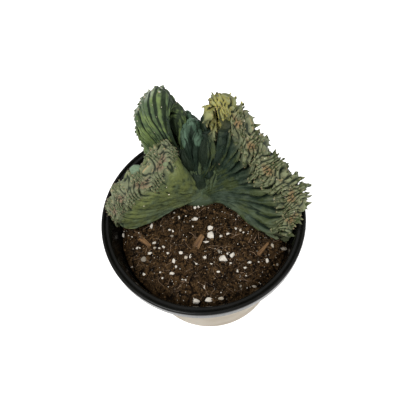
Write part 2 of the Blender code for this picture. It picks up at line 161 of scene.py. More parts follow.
FANS = {
    "left_front": FAN | {
        "edge": [(-46, 4, 72), (-48, 6, 80), (-42, 8, 94), (-35, 9, 103), (-27, 11, 108),
                 (-21, 14, 111), (-16, 18, 113), (-12, 24, 112)],
        "hub": (-3, 15, 74), "upright": 0.75, "half_thickness": 7.8, "spread": 0.20,
        "root_span": (10.0, 6.0), "inset": 0.5, "seed": 3,
        "line_shift": [(0, 0.5), (0.15, 2.5), (0.35, 4.2), (0.5, 5.0), (0.68, 6.6), (0.85, 4.4), (1, 1.0)],
        "knots": (0.24, 0.42, 0.65, 0.83), "meander": 1.5, "pitch": 2.5, "broad_depth": 0.35,
        "rib_depth": 1.3, "ribs_to": 9.5, "tangle": 0.9, "thin_lines": 0.45, "finger": (2.2, 1.0),
        "fingers_to": 9.0, "tooth": (1.2, 0.6), "face": (0.096, 0.112, 0.036),
        "blotch": (0.054, 0.070, 0.032), "crown": (0.112, 0.120, 0.072), "felt": (0.150, 0.100, 0.062),
        "streaks": 0.25,
    },
    "left_back": FAN | {
        "edge": [(-24, 35, 88), (-26, 37, 98), (-26, 39, 109), (-24, 38, 120), (-20, 36, 130.5),
                 (-15, 34, 136.5), (-11, 32.5, 136.8), (-7.6, 31.5, 134), (-6, 30, 128.5), (-7.5, 28, 121)],
        "hub": (-11, 27, 102), "upright": 0.45, "half_thickness": 5.8, "spread": 0.30, "inset": 0.6,
        "seed": 5, "line_shift": [(0, 0.3), (0.5, 0.3), (0.7, -2.0), (1, -2.0)], "pitch": 3.3,
        "broad_depth": 0.8, "rib_depth": 0.8, "ribs_to": 34.0, "tangle": 0.45, "finger": (1.9, 1.1),
        "fingers_to": 5.0, "tooth": (1.3, 0.75), "bare": (0.66, 0.82), "face": (0.098, 0.136, 0.044),
        "blotch": (0.048, 0.074, 0.034), "crown": (0.210, 0.230, 0.185), "felt": (0.130, 0.085, 0.050),
        "streaks": 0.8, "dim_end": 0.35,
    },
    "middle": LOBE | {
        "edge": [(-6, 24, 113), (-3, 25, 119), (0, 25, 121), (3, 25, 119), (5, 22, 112)],
        "hub": (-1, 22, 94), "half_thickness": 4.6, "spread": 0.10, "seed": 7, "broad_depth": 2.2,
        "tooth": (1.0, 0.6), "face": (0.062, 0.104, 0.068), "crown": (0.060, 0.092, 0.066), "sunk": 0.9,
        "sunk_from": 4.5,
    },
    "behind": LOBE | {
        "edge": [(-7, 29, 108), (-5, 31, 116), (-1, 32, 119), (3, 31, 116), (5, 29, 108)],
        "hub": (-1, 25, 92), "spread": 0.15, "seed": 13, "broad_depth": 1.6,
        "face": (0.044, 0.080, 0.050), "crown": (0.070, 0.105, 0.078), "sunk": 0.5,
    },
    "front": LOBE | {
        "edge": [(-8, 20, 86), (-4, 24, 96), (1, 25.5, 100), (7, 24, 96), (13, 18, 86)],
        "hub": (2, 13, 71), "upright": 0.6, "spread": 0.35, "root_at": (2.0, 13.5, 66.5),
        "root_span": (9.0, 0.0), "seed": 17, "pitch": 2.6, "broad_depth": 0.9, "rib_depth": 0.15,
        "tangle": 1.2, "face": (0.058, 0.078, 0.036), "blotch": (0.032, 0.052, 0.028),
        "crown": (0.040, 0.060, 0.036),
    },
    "right": FAN | {
        "edge": [(13.5, 24, 113.5), (11.4, 27, 125.3), (10.8, 28.6, 131), (14.3, 29.4, 130.8),
                 (18.8, 30, 127.5), (23.2, 28.8, 121.8), (26.6, 27, 114.8), (30.4, 24, 108.6),
                 (33.4, 21, 103), (36.6, 17.6, 98), (41, 12.5, 93.8), (45, 7.6, 92),
                 (49.5, 1.8, 89.6), (51, -5, 85), (48, -12, 78), (42, -17, 71)],
        "hub": (3, 16, 78), "upright": 0.7, "half_thickness": 7.6, "spread": 0.22,
        "root_span": (18.0, -8.0), "inset": 1.3, "seed": 9,
        "line_shift": [(0, 1.0), (0.1, 3.4), (0.3, 4.4), (0.55, 5.4), (0.75, 4.4), (0.9, 3.4), (1, 1.0)],
        "knots": (0.12, 0.30, 0.45, 0.60, 0.77, 0.90), "meander": 1.6, "pitch": 2.4, "split": 3,
        "broad_depth": 5.0, "broad_fade": (0.34, 0.90), "rib_depth": 1.2, "ribs_to": 11.0, "tangle": 1.5,
        "thin_lines": 0.2, "finger": (3.3, 1.5), "fingers_to": 13.0, "tooth": (1.3, 0.7), "knob": 1.0,
        # The right fan's face colour is partly its own dark blue-green and partly painted shade
        "face": (0.010, 0.019, 0.0115), "blotch": (0.028, 0.038, 0.012), "crown": (0.115, 0.120, 0.064),
        "felt": (0.190, 0.122, 0.056), "base": 0.375,
    },
}

# The skin's grid, the growing line and its knots, and how hollows are found for the painted shade in them
# and
# the painted highlight on ridges: the reach of each blur in steps across and along the ribs, and how much it
# counts
COLUMN_STEP = 0.33
SIDE_STEPS = 110
CAP_STEPS = 64
ROOT_SHARE = 0.08
FURROW_SHARPNESS = 0.75
LINE_DEPTH = 0.45
LINE_WIDTH = 1.0
KNOT_WIDTH = 3.2
HOLLOWS = ((4, 3, 0.60), (13, 9, 0.18), (26, 22, 0.13))
BASE_HEIGHTS = (68, 94)
KNOB_ALONG = (20, 36)
KNOB_ACROSS = (3, 12)
KNOB_HEIGHTS = (112, 121)
SKIN_NUMBERS = ("rise", "crown", "tip", "felt", "knob", "streak", "low")

# Teeth: rings by how far along, how wide and what tone, then how flat, how bent, and where the bend starts
TOOTH_SIDES = 9
TIP_FORM = {
    "rings": ((-0.9, 1.05, 0.0), (-0.45, 1.1, 0.1), (0.0, 0.95, 0.3), (0.4, 0.62, 0.6), (0.75, 0.28, 0.9)),
    "flat": 0.6,
    "bend": 0.12,
    "bend_from": -1.0,
}
OUTLINE_FORM = {
    "rings": ((-0.35, 1, 0), (0, 0.95, 0), (0.35, 0.68, 0.35), (0.68, 0.36, 0.68), (0.88, 0.14, 0.88)),
    "flat": 0.55,
    "bend": 0.10,
    "bend_from": 0.0,
}
OUTLINE_TOOTH_LENGTH = (1.4, 4.6)
OUTLINE_TOOTH_WIDEST = 1.7
OUTLINE_TOOTH_ROOT = 0.6
KNOB_TEETH_LEFT_OF = 243

# Spines at the tips near the growing line
SPINE_LENGTH = (0.9, 2.0)
SPINE_WIDTH = 0.11
SPINES_TO = 8.5

# Bark chips: the grid's size, and for each its middle on the soil, the way that the long side points,
# length, width and thickness, and how far one end is raised
BARK_RINGS = 64
BARK_SIDES = 36
BARK = [
    {"name": "bark_chip_left", "at": (-32.5, -5.5), "turn": -48.0, "size": (9.0, 3.8, 1.6), "tilt": 8.0},
    {"name": "bark_chip_middle", "at": (-4.5, -11.5), "turn": 52.0, "size": (11.5, 5.6, 1.5), "tilt": 16.0},
    {"name": "bark_chip_right", "at": (29.0, -18.0), "turn": 42.0, "size": (9.5, 2.8, 2.2), "tilt": 6.0},
]

# Grains of perlite by where they lie in the photograph: pixel x and y, width and height in pixels, and the
# tone of those that aren't white
PERLITE_SHARE = 0.86
CREAM = 0.5
GREY = 1.0
PERLITE = [
    (152.0, 226.0, 3.5, 5.5), (113.6, 236.5, 3.5, 5.0), (132.0, 237.0, 2.0, 2.0), (169.6, 230.0, 3.0, 2.6),
    (172.9, 231.2, 2.6, 3.6), (172.0, 236.5, 4.5, 3.0, GREY), (194.6, 219.2, 7.0, 4.8),
    (210.5, 228.6, 7.0, 6.2), (210.3, 236.2, 7.6, 9.0), (205.9, 242.3, 7.0, 2.8), (220.9, 236.5, 4.8, 3.8),
    (228.0, 233.8, 4.0, 3.4), (235.8, 228.7, 3.0, 2.8), (240.8, 230.0, 3.0, 3.8, CREAM),
    (243.4, 232.4, 2.0, 2.0), (272.7, 246.0, 4.0, 3.8, CREAM), (284.0, 248.8, 6.4, 3.8, GREY),
    (249.5, 262.5, 5.2, 3.4), (258.8, 262.0, 2.0, 1.8), (267.4, 261.0, 4.0, 5.2), (232.4, 255.5, 5.8, 6.6),
    (223.2, 259.5, 9.6, 7.8), (227.3, 253.8, 3.0, 3.0), (230.4, 263.3, 3.0, 2.2),
    (219.2, 251.4, 3.0, 5.0, GREY), (204.5, 257.4, 3.8, 4.2), (196.6, 264.0, 3.0, 2.8),
    (211.4, 264.0, 3.0, 2.4), (186.0, 257.2, 4.8, 3.8, CREAM), (190.8, 256.4, 2.8, 4.6),
    (173.8, 261.0, 2.8, 7.0), (176.4, 266.7, 2.8, 4.4), (180.7, 252.9, 3.8, 5.0), (168.0, 253.4, 3.6, 3.0),
    (163.4, 247.2, 3.4, 3.0), (159.5, 248.3, 2.8, 2.8), (154.3, 243.0, 4.0, 3.6),
    (155.0, 248.0, 4.0, 3.0, CREAM), (149.6, 253.4, 5.0, 3.8), (138.6, 248.3, 5.0, 3.0),
    (143.2, 260.0, 6.0, 6.0, GREY), (171.5, 273.6, 5.4, 3.0), (143.9, 274.3, 3.0, 3.0),
    (160.5, 272.5, 2.6, 2.2), (162.4, 278.0, 2.2, 2.6), (182.2, 279.4, 2.0, 2.0), (185.6, 280.0, 2.0, 2.0),
    (204.4, 287.4, 2.2, 4.0), (218.2, 272.0, 3.8, 2.4), (237.6, 271.3, 3.0, 3.8), (246.2, 275.9, 2.2, 2.2),
    (240.7, 286.3, 3.0, 2.8, GREY), (259.2, 283.0, 2.0, 2.0), (245.0, 268.0, 3.0, 2.6),
    (196.2, 301.5, 8.6, 5.4), (208.2, 300.2, 10.0, 4.8), (221.2, 298.3, 7.4, 3.4, CREAM),
    (128.2, 269.3, 3.0, 2.4), (254.0, 286.4, 5.0, 3.0, GREY), (279.2, 266.0, 3.0, 3.0, GREY),
    (195.2, 208.0, 3.2, 3.4), (198.2, 206.6, 3.2, 4.0), (201.8, 204.8, 4.4, 4.4), (178.8, 217.9, 3.0, 4.0),
    (174.2, 213.0, 2.0, 2.0), (193.0, 226.7, 2.0, 2.0), (231.2, 208.6, 4.2, 2.6, CREAM),
    (238.2, 216.0, 3.2, 3.0, CREAM), (186.0, 216.0, 1.8, 1.8),
]

# Small things on the plant by where they show in the photograph: tips of the teeth along the right fan's
# outline, tufts of wool (pixel x and y, width in pixels, tone), and smooth swellings (name, pixel, radii
# and colour)
OUTLINE_TEETH = [
    (230.6, 92.8), (236.0, 95.8), (241.3, 100.8), (249.6, 111.4), (255.0, 117.5), (260.8, 124.8),
    (266.0, 135.6), (270.6, 146.6), (275.6, 149.2), (279.2, 153.0), (288.6, 163.4), (297.4, 173.0),
    (305.2, 178.0), (309.2, 184.8), (312.0, 195.1), (311.8, 202.4), (307.0, 209.0), (301.9, 224.2),
    (296.2, 236.4), (286.0, 240.5),
]
TUFTS = [
    (169.2, 194.4, 2.4, 1.0), (143.9, 205.8, 1.8, 0.8), (152.2, 104.7, 1.5, 0.9), (161.4, 107.1, 1.6, 0.8),
    (156.3, 117.1, 1.3, 0.7), (154.4, 132.4, 1.2, 0.3), (138.3, 110.2, 1.6, 0.9), (176.3, 102.5, 1.4, 0.3),
    (156.9, 173.0, 1.6, 0.6), (243.9, 120.7, 2.0, 1.0), (273.9, 200.1, 1.8, 1.0), (285.0, 197.3, 2.2, 0.7),
    (242.2, 127.9, 1.4, 0.6), (218.9, 164.0, 2.0, 0.2), (200.2, 121.0, 1.8, 0.9), (294.4, 211.8, 1.6, 0.8),
    (276.7, 179.6, 1.8, 0.4), (283.9, 163.4, 1.6, 0.5), (296.4, 174.2, 1.5, 0.5), (285.5, 189.5, 1.4, 0.8),
    (290.8, 187.6, 1.5, 0.7), (264.8, 158.6, 1.6, 0.6), (262.0, 167.5, 1.3, 0.8), (166.5, 187.2, 1.3, 0.7),
    (149.0, 179.2, 1.4, 0.6), (137.2, 121.0, 1.4, 0.9), (141.0, 103.2, 1.5, 0.9), (247.6, 138.0, 1.6, 0.6),
    (251.0, 133.6, 1.6, 0.5), (119.8, 211.6, 1.3, 0.6), (113.0, 217.0, 1.3, 0.6), (168.0, 153.6, 1.4, 0.5),
]
SWELLINGS = [
    ("left_knob", (136.0, 168.4), (3.3, 2.6, 2.4), (0.110, 0.155, 0.098)),
    ("left_bump", (165.6, 164.2), (1.5, 1.3, 1.0), (0.125, 0.150, 0.080)),
]

# Colours, as linear red, green and blue
DEEP_SKIN = (0.020, 0.032, 0.018)
KNOB_SKIN = (0.235, 0.215, 0.054)
BASE_SKIN = (0.062, 0.074, 0.031)
# Painted shade in the skin's furrows and hollows, and the colour of its small dark dots
FURROW_SHADE_AND_DOTS = (0.007, 0.013, 0.008)
# Painted highlight laid on the ridge tops of the crown
PAINTED_RIDGE_HIGHLIGHT = (0.165, 0.185, 0.100)
HAZE = (0.088, 0.122, 0.088)
BLOOM = (0.120, 0.160, 0.115)
TIP_SKIN = (0.260, 0.190, 0.095)
FELT = (0.130, 0.085, 0.050)
SPINE_DARK = (0.120, 0.070, 0.035)
WOOL_DARK = (0.120, 0.065, 0.030)
WOOL_PALE = (0.620, 0.560, 0.440)
SPINE_TAN = (0.420, 0.320, 0.190)
PEAT_DARK = (0.0115, 0.0066, 0.0028)
PEAT_BROWN = (0.040, 0.0220, 0.0084)
PEAT_LIGHT = (0.150, 0.090, 0.040)
# Near-black peat: the colour of the darkest crumbs and patches, and painted shade in the soil's low spots
PEAT_BLACK_AND_SHADE = (0.0025, 0.0016, 0.0009)
FIBRE = (0.200, 0.130, 0.080)
PERLITE_WHITE = (0.480, 0.445, 0.385)
PERLITE_CREAM = (0.330, 0.285, 0.220)
PERLITE_GREY = (0.160, 0.140, 0.110)
BARK_DARK = (0.040, 0.020, 0.008)
BARK_LIGHT = (0.200, 0.110, 0.044)
BARK_RED = (0.100, 0.048, 0.018)
BLACK_PLASTIC = (0.002, 0.002, 0.0015)
BLACK_WORN = (0.004, 0.004, 0.0034)
COVER_WHITE = (0.240, 0.204, 0.152)
COVER_SHADE = (0.222, 0.187, 0.138)
FLOOR_WHITE = (0.950, 0.950, 0.950)
WHITE = (1.0, 1.0, 1.0)

# Light: the even studio light all round, and each lamp's place and aim in metres, width and power
SKY_STRENGTH = 1.1
FLOOR_GLOW = 0.25
FLOOR_HALF_WIDTH = 3.0
LIGHTS = [
    ("key_light", (-0.32, -0.26, 0.80), (0.0, 0.0, 0.08), 0.35, 5.5),
    ("fill_light", (0.50, -0.35, 0.55), (0.0, 0.0, 0.08), 0.35, 2.0),
]


def unit(v):
    return v / np.maximum(np.linalg.norm(v, axis=-1, keepdims=True), 1e-9)


def ease(x, low, high):
    """0 at low, 1 at high, with a smooth turn between them."""
    t = np.clip((x - low) / (high - low), 0, 1)
    return t * t * (3 - 2 * t)


def hashed(*keys):
    """A repeatable number from 0 to 1 for whole-number keys."""
    n = np.zeros(np.broadcast(*keys).shape, np.uint32) + np.uint32(2166136261)
    for key in keys:
        n = (n ^ np.asarray(key).astype(np.int64).astype(np.uint32)) * np.uint32(16777619)
        n = n ^ (n >> np.uint32(15))
        n = n * np.uint32(2246822519)
        n = n ^ (n >> np.uint32(13))
    return n.astype(float) / 4294967295.0


def smooth_noise(points, seed):
    """Noise from -1 to 1, with features about one unit across."""
    cell = np.floor(points).astype(np.int64)
    t = points - cell
    t = t * t * (3 - 2 * t)
    total = 0.0
    for dx in (0, 1):
        for dy in (0, 1):
            for dz in (0, 1):
                weight = np.where(dx, t[..., 0], 1 - t[..., 0])
                weight = weight * np.where(dy, t[..., 1], 1 - t[..., 1])
                weight = weight * np.where(dz, t[..., 2], 1 - t[..., 2])
                corner = hashed(cell[..., 0] + dx, cell[..., 1] + dy, cell[..., 2] + dz, seed)
                total = total + weight * corner
    return 2 * total - 1


def layered_noise(points, size, layers, seed):
    total, strength = 0.0, 1.0
    for layer in range(layers):
        total = total + strength * smooth_noise(points / size, seed + layer)
        size /= 2.1
        strength *= 0.5
    return total


def grid_faces(columns, rows):
    """Quads of a grid whose points run row by row inside each column."""
    a = np.arange((columns - 1) * rows).reshape(columns - 1, rows)[:, :-1].ravel()
    return np.stack([a, a + 1, a + rows + 1, a + rows], axis=1)


def ring_faces(columns, rows):
    """Quads of a grid whose last column joins its first."""
    here = np.arange(columns)[:, None] * rows + np.arange(rows - 1)[None, :]
    there = (np.arange(columns)[:, None] + 1) % columns * rows + np.arange(rows - 1)[None, :]
    return np.stack([here, there, there + 1, here + 1], axis=-1).reshape(-1, 4)


def tube_faces(rings, sides):
    """Quads of a tube whose points run round each ring."""
    here = np.arange(rings - 1)[:, None] * sides + np.arange(sides)[None, :]
    there = np.arange(rings - 1)[:, None] * sides + (np.arange(sides)[None, :] + 1) % sides
    return np.stack([here, there, there + sides, here + sides], axis=-1).reshape(-1, 4)


def tube_triangles(rings, sides):
    return tube_faces(rings, sides)[:, [0, 1, 2, 0, 2, 3]].reshape(-1, 3)


def ball_points(columns, rows):
    """Points of a ball of radius one, in columns from pole to pole."""
    around = np.linspace(0, math.tau, columns, endpoint=False)
    tilt = np.linspace(-math.pi / 2, math.pi / 2, rows)
    ball = np.empty((columns, rows, 3))
    ball[..., 0] = np.cos(around)[:, None] * np.cos(tilt)
    ball[..., 1] = np.sin(around)[:, None] * np.cos(tilt)
    ball[..., 2] = np.sin(tilt)[None, :]
    return ball


def new_object(name, data):
    obj = bpy.data.objects.new(name, data)
    bpy.context.scene.collection.objects.link(obj)
    return obj


def as_array(vectors):
    return np.array([vector[:] for vector in vectors])


def piece_of(name, points, faces, material, values=None, smooth=True):
    """A piece of the scene from points in millimetres, with named numbers stored on its points."""
    mesh = bpy.data.meshes.new(name)
    mesh.from_pydata((np.asarray(points, float) * MM).tolist(), [], [list(face) for face in faces])
    for key, numbers in (values or {}).items():
        stored = mesh.attributes.new(key, "FLOAT", "POINT")
        stored.data.foreach_set("value", np.asarray(numbers, np.float32).ravel())
    mesh.materials.append(material)
    if smooth:
        mesh.shade_smooth()
    mesh.update()
    obj = new_object(name, mesh)
    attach(obj, "root")
    return obj


class Heap:
    """Many small lumps gathered into one piece, with named numbers for each."""

    def __init__(self):
        self.points, self.faces, self.numbers, self.count = [], [], {}, 0

    def add(self, points, faces, **numbers):
        self.points.append(points)
        self.faces.append(faces + self.count)
        for key, number in numbers.items():
            self.numbers.setdefault(key, []).append(np.zeros(len(points)) + number)
        self.count += len(points)

    def make(self, name, material, smooth=True):
        values = {key: np.concatenate(parts) for key, parts in self.numbers.items()}
        return piece_of(
            name, np.concatenate(self.points), np.concatenate(self.faces), material, values, smooth
        )


# Camera and sight lines


def camera_axes():
    """The camera's right, up and backward directions."""
    tilt, roll = math.radians(ELEVATION), math.radians(ROLL)
    back = Vector((0.0, -math.cos(tilt), math.sin(tilt)))
    right = Vector((1.0, 0.0, 0.0))
    up = back.cross(right)
    turned_right = right * math.cos(roll) + up * math.sin(roll)
    turned_up = up * math.cos(roll) - right * math.sin(roll)
    return turned_right, turned_up, back


def focal_pixels():
    """The camera's focal length in pixels of the photograph."""
    return PHOTO_SIZE / 2 / math.tan(math.radians(VIEW_ANGLE / 2))


def camera_place():
    right, up, back = camera_axes()
    scale = CAMERA_DISTANCE / focal_pixels()
    across = (RIM_MIDDLE_PIXEL[0] - PHOTO_SIZE / 2) * scale
    above = (PHOTO_SIZE / 2 - RIM_MIDDLE_PIXEL[1]) * scale
    return Vector((0.0, 0.0, POT_HEIGHT)) + back * CAMERA_DISTANCE - right * across - up * above


def make_camera():
    data = bpy.data.cameras.new("camera")
    data.sensor_fit = "HORIZONTAL"
    data.sensor_width = 36.0
    data.lens = data.sensor_width / 2 / math.tan(math.radians(VIEW_ANGLE / 2))
    data.clip_start = 0.005
    data.clip_end = 20.0
    camera = new_object("camera", data)
    turn = Matrix(camera_axes()).transposed().to_4x4()
    camera.matrix_world = Matrix.Translation(camera_place() * MM) @ turn
    bpy.context.scene.camera = camera


def sight_line(x, y):
    """The direction from the camera through a pixel of the photograph."""
    right, up, back = camera_axes()
    focal = focal_pixels()
    return (right * ((x - PHOTO_SIZE / 2) / focal) + up * ((PHOTO_SIZE / 2 - y) / focal) - back).normalized()


def pixels_of(points):
    """Where points land in the photograph."""
    right, up, back = (np.array(axis) for axis in camera_axes())
    from_camera = points - np.array(camera_place())
    depth = -from_camera @ back
    x = PHOTO_SIZE / 2 + focal_pixels() * (from_camera @ right) / depth
    y = PHOTO_SIZE / 2 - focal_pixels() * (from_camera @ up) / depth
    return np.stack([x, y], axis=-1)


def soil_under_pixel(x, y):
    """The point of the soil's surface that a pixel of the photograph looks at."""
    place = camera_place()
    ray = sight_line(x, y)
    z = SOIL_MIDDLE
    for _ in range(8):
        hit = place + ray * ((z - place.z) / ray.z)
        z = soil_height(hit.x, hit.y)
    return hit


# Pots


def cover_radius(z):
    return COVER_BASE_RADIUS + WALL_SLOPE * z


def grow_inner_radius(z):
    return cover_radius(z) - COVER_WALL - GAP - GROW_WALL


def soil_radius(z):
    return grow_inner_radius(z) - GAP


def soil_limit(margin):
    """How far from the middle a thing may lie on the soil, away from the wall by margin."""
    return soil_radius(SOIL_EDGE) - margin


def arc(middle, radius, start, end, steps):
    """Points of an arc in a profile, from start to end in degrees."""
    points = []
    for i in range(steps + 1):
        angle = math.radians(start + (end - start) * i / steps)
        points.append((middle[0] + radius * math.cos(angle), middle[1] + radius * math.sin(angle)))
    return points


def turned(name, profile, material):
    """A closed solid turned round Z from a profile of (radius, height) that starts and ends on the axis."""
    mesh = bpy.data.meshes.new(name)
    edges = [(i, i + 1) for i in range(len(profile) - 1)]
    mesh.from_pydata([(r * MM, 0.0, z * MM) for r, z in profile], edges, [])
    obj = new_object(name, mesh)
    screw = obj.modifiers.new("turn", "SCREW")
    screw.axis = "Z"
    screw.angle = math.tau
    screw.steps = screw.render_steps = POT_STEPS
    screw.use_merge_vertices = True
    screw.merge_threshold = MERGE_METRES
    bake(obj)
    obj.data.materials.clear()
    obj.data.materials.append(material)
    smooth_but_edges(obj)
    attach(obj, "root")
    return obj


def smooth_but_edges(obj):
    obj.data.shade_smooth()
    obj.data.set_sharp_from_angle(angle=math.radians(SHARP_ANGLE))


def bake(obj):
    """Applies the object's modifiers to its mesh."""
    bpy.context.view_layer.update()
    graph = bpy.context.evaluated_depsgraph_get()
    made = bpy.data.meshes.new_from_object(obj.evaluated_get(graph))
    obj.modifiers.clear()
    obj.data = made


def make_cover_pot(material):
    edge = COVER_CORNER
    inner_floor = cover_radius(COVER_FLOOR) - COVER_WALL
    profile = [(0.0, COVER_FLOOR), (inner_floor, COVER_FLOOR)]
    profile += [(COVER_TOP_RADIUS - COVER_WALL, COVER_TOP), (COVER_TOP_RADIUS, COVER_TOP)]
    profile += [(cover_radius(z), z) for z in (60.0, 40.0, 20.0, 6.0)]
    profile += arc((cover_radius(edge) - edge, edge), edge, 0, -90, 6)
    profile += [(COVER_BASE_RADIUS - 4.0, 0.0), (COVER_BASE_RADIUS - 4.6, 0.3), (0.0, 0.3)]
    pot = turned("cover_pot_skin", profile, material)
    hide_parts("cover_pot")


def make_grow_pot(material):
    floor_top = GROW_BOTTOM + GROW_WALL
    step = POT_HEIGHT - 3.0
    inner_top = grow_inner_radius(step)
    lip_under = POT_HEIGHT - LIP_THICKNESS
    bead = 1.0
    profile = [(0.0, floor_top), (grow_inner_radius(floor_top), floor_top)]
    profile += [(grow_inner_radius(z), z) for z in (20.0, 40.0, 55.0, 66.0)]
    profile += [(inner_top, step), (inner_top + 0.25, step + 0.9)]
    profile += arc((inner_top + 1.55, POT_HEIGHT - 1.1), 0.8, 170, 90, 5)
    profile += [(inner_top + 2.4, POT_HEIGHT - 0.3), (inner_top + 2.8, POT_HEIGHT - 0.75)]
    profile += [(RIM_RADIUS - 2.2, POT_HEIGHT - 0.75)]
    profile += arc((RIM_RADIUS - bead, POT_HEIGHT - bead), bead, 130, 0, 9)
    profile += [(RIM_RADIUS - 0.15, POT_HEIGHT - 3.4), (RIM_RADIUS - 0.3, POT_HEIGHT - SKIRT_DEPTH + 0.3)]
    profile += arc((RIM_RADIUS - 0.7, POT_HEIGHT - SKIRT_DEPTH + 0.4), 0.4, 0, -180, 6)
    profile += [(RIM_RADIUS - SKIRT_WALL - GAP, lip_under), (inner_top + GROW_WALL + 0.2, lip_under)]
    profile += [(cover_radius(GROW_BOTTOM) - COVER_WALL - GAP, GROW_BOTTOM), (0.0, GROW_BOTTOM)]
    pot = turned("grow_pot_skin", profile, material)
    cut_drain_holes(pot)
    smooth_but_edges(pot)
    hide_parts("grow_pot")


def cut_drain_holes(pot):
    cutters = bpy.data.collections.new("drain_cutters")
    bpy.context.scene.collection.children.link(cutters)
    for i in range(DRAIN_HOLES):
        angle = math.tau * i / DRAIN_HOLES
        mesh = bpy.data.meshes.new(f"drain_cutter_{i + 1}")
        work = bmesh.new()
        bmesh.ops.create_cone(
            work,
            cap_ends=True,
            segments=32,
            radius1=DRAIN_HOLE_RADIUS * MM,
            radius2=DRAIN_HOLE_RADIUS * MM,
            depth=DRAIN_CUTTER_LENGTH * MM,
        )
        middle = (DRAIN_CIRCLE_RADIUS * math.cos(angle), DRAIN_CIRCLE_RADIUS * math.sin(angle), GROW_BOTTOM)
        bmesh.ops.translate(work, vec=Vector(middle) * MM, verts=work.verts)
        work.to_mesh(mesh)
        work.free()
        cutters.objects.link(bpy.data.objects.new(mesh.name, mesh))
    boolean = pot.modifiers.new("drain", "BOOLEAN")
    boolean.operand_type = "COLLECTION"
    boolean.collection = cutters
    boolean.solver = "EXACT"
    bake(pot)
    for cutter in list(cutters.objects):
        bpy.data.objects.remove(cutter)
    bpy.data.collections.remove(cutters)


# Soil, perlite and bark


def soil_height(x, y):
    """The height of the soil's mound, without its clods."""
    r = math.hypot(x, y) / grow_inner_radius(SOIL_EDGE)
    mound = SOIL_MIDDLE - (SOIL_MIDDLE - SOIL_EDGE) * min(r, 1.0) ** 2.4
    place = Vector((x, y, 3.0)) / SOIL_RELIEF_SIZE
    return mound + SOIL_RELIEF * (noise.noise(place) + 0.5 * noise.noise(place * 2.3))


def lumps(x, y, size, seed):
    """Rounded clods about size across, from 0 between them to 1 on top."""
    px, py = x / size, y / size
    cx, cy = np.floor(px).astype(np.int64), np.floor(py).astype(np.int64)
    top = np.zeros(px.shape)
    for dx in (-1, 0, 1):
        for dy in (-1, 0, 1):
            ix, iy = cx + dx, cy + dy
            mx = ix + 0.15 + 0.7 * hashed(ix, iy, seed)
            my = iy + 0.15 + 0.7 * hashed(ix, iy, seed + 1)
            reach = 0.45 + 0.35 * hashed(ix, iy, seed + 2)
            far = np.clip(1 - ((px - mx) ** 2 + (py - my) ** 2) / reach**2, 0, 1)
            top = np.maximum(top, np.sqrt(far) * (0.45 + 0.55 * hashed(ix, iy, seed + 3)))
    return top


def make_soil(material):
    radii = np.arange(SOIL_STEP, soil_radius(SOIL_EDGE) - 0.2, SOIL_STEP)
    sectors = SOIL_SECTORS
    angles = np.linspace(0, math.tau, sectors, endpoint=False)
    x = np.outer(np.cos(angles), radii)
    y = np.outer(np.sin(angles), radii)
    base = np.array([soil_height(a, b) for a, b in zip(x.ravel(), y.ravel())]).reshape(x.shape)
    flat = np.stack([x, y, np.zeros_like(x)], axis=-1)
    rough = sum(share * lumps(x, y, size, seed) for share, size, seed in CLODS)
    rough = rough + 0.25 * layered_noise(flat, 1.0, 2, 31)
    crack = np.abs(layered_noise(flat, CRACK_SIZE, 2, 47))
    rough = rough - CRACK_DEPTH * (1 - ease(crack, 0.0, 0.10))
    ragged = 1.6 * layered_noise(flat, 6.0, 3, 53)
    drop = SOIL_EDGE_DROP * (1 - 0.65 * ease(-x, 12, 34))
    z = base - 0.55 + 0.95 * rough - drop * ease(radii[None, :] + ragged, radii[-1] - 4.0, radii[-1] - 1.2)
    points = np.stack([x, y, z], axis=-1)
    rows = len(radii)
    quads = ring_faces(sectors, rows)[:, [0, 3, 2, 1]].tolist()
    all_points = points.reshape(-1, 3).tolist()
    middle = len(all_points)
    all_points.append([0.0, 0.0, float(z[:, 0].mean())])
    following = (np.arange(sectors) + 1) % sectors
    for i in range(sectors):
        quads.append([middle, i * rows, int(following[i]) * rows])
    shade = np.append(np.clip(rough, 0, 1).ravel(), 0.5)
    below = len(all_points)
    floor_z = GROW_BOTTOM + GROW_WALL + GAP
    for angle in angles:
        for z_low in (SOIL_EDGE - SOIL_EDGE_DROP - 2.5, floor_z):
            r = soil_radius(z_low)
            all_points.append([r * math.cos(angle), r * math.sin(angle), z_low])
    all_points.append([0.0, 0.0, floor_z])
    bottom = len(all_points) - 1
    for i in range(sectors):
        j = int(following[i])
        rim_i, rim_j = i * rows + rows - 1, j * rows + rows - 1
        wall_i, wall_j = below + 2 * i, below + 2 * j
        quads.append([rim_i, wall_i, wall_j, rim_j])
        quads.append([wall_i, wall_i + 1, wall_j + 1, wall_j])
        quads.append([wall_i + 1, bottom, wall_j + 1])
    shade = np.append(shade, np.full(len(all_points) - below, 0.4))
    soil = piece_of("soil_bed", all_points, quads, material, {"rise": shade})
    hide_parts("soil")


def grain(steps, dice, roughness):
    """Points and faces of a small irregular lump, one unit in radius."""
    work = bmesh.new()
    bmesh.ops.create_icosphere(work, subdivisions=steps, radius=1.0)
    shift = Vector((dice.uniform(-50, 50), dice.uniform(-50, 50), dice.uniform(-50, 50)))
    for vert in work.verts:
        bulge = noise.noise(vert.co * 1.3 + shift) + 0.5 * noise.noise(vert.co * 3.1 + shift)
        vert.co *= 1 + roughness * bulge
    points = np.array([vert.co[:] for vert in work.verts])
    faces = np.array([[vert.index for vert in face.verts] for face in work.faces])
    work.free()
    return points, faces


def angular_grain(dice):
    """Points and faces of a small angular stone, about one unit in radius."""
    points, faces = grain(3, dice, 0.30)
    for _ in range(11):
        side = unit(np.array([dice.gauss(0, 1) for _ in range(3)]))
        over = np.maximum(points @ side - dice.uniform(0.45, 0.85), 0)
        points = points - over[:, None] * side
    return points * 1.22, faces


def turn_matrix(dice, flatness=1.0):
    """A random turn, with the tip-over kept small where flatness is low."""
    spin = Matrix.Rotation(dice.uniform(0, math.tau), 3, "Z")
    lean = Matrix.Rotation(dice.uniform(-1, 1) * math.pi * flatness, 3, "X")
    return np.array(spin @ lean @ Matrix.Rotation(dice.uniform(0, math.tau), 3, "Z"))


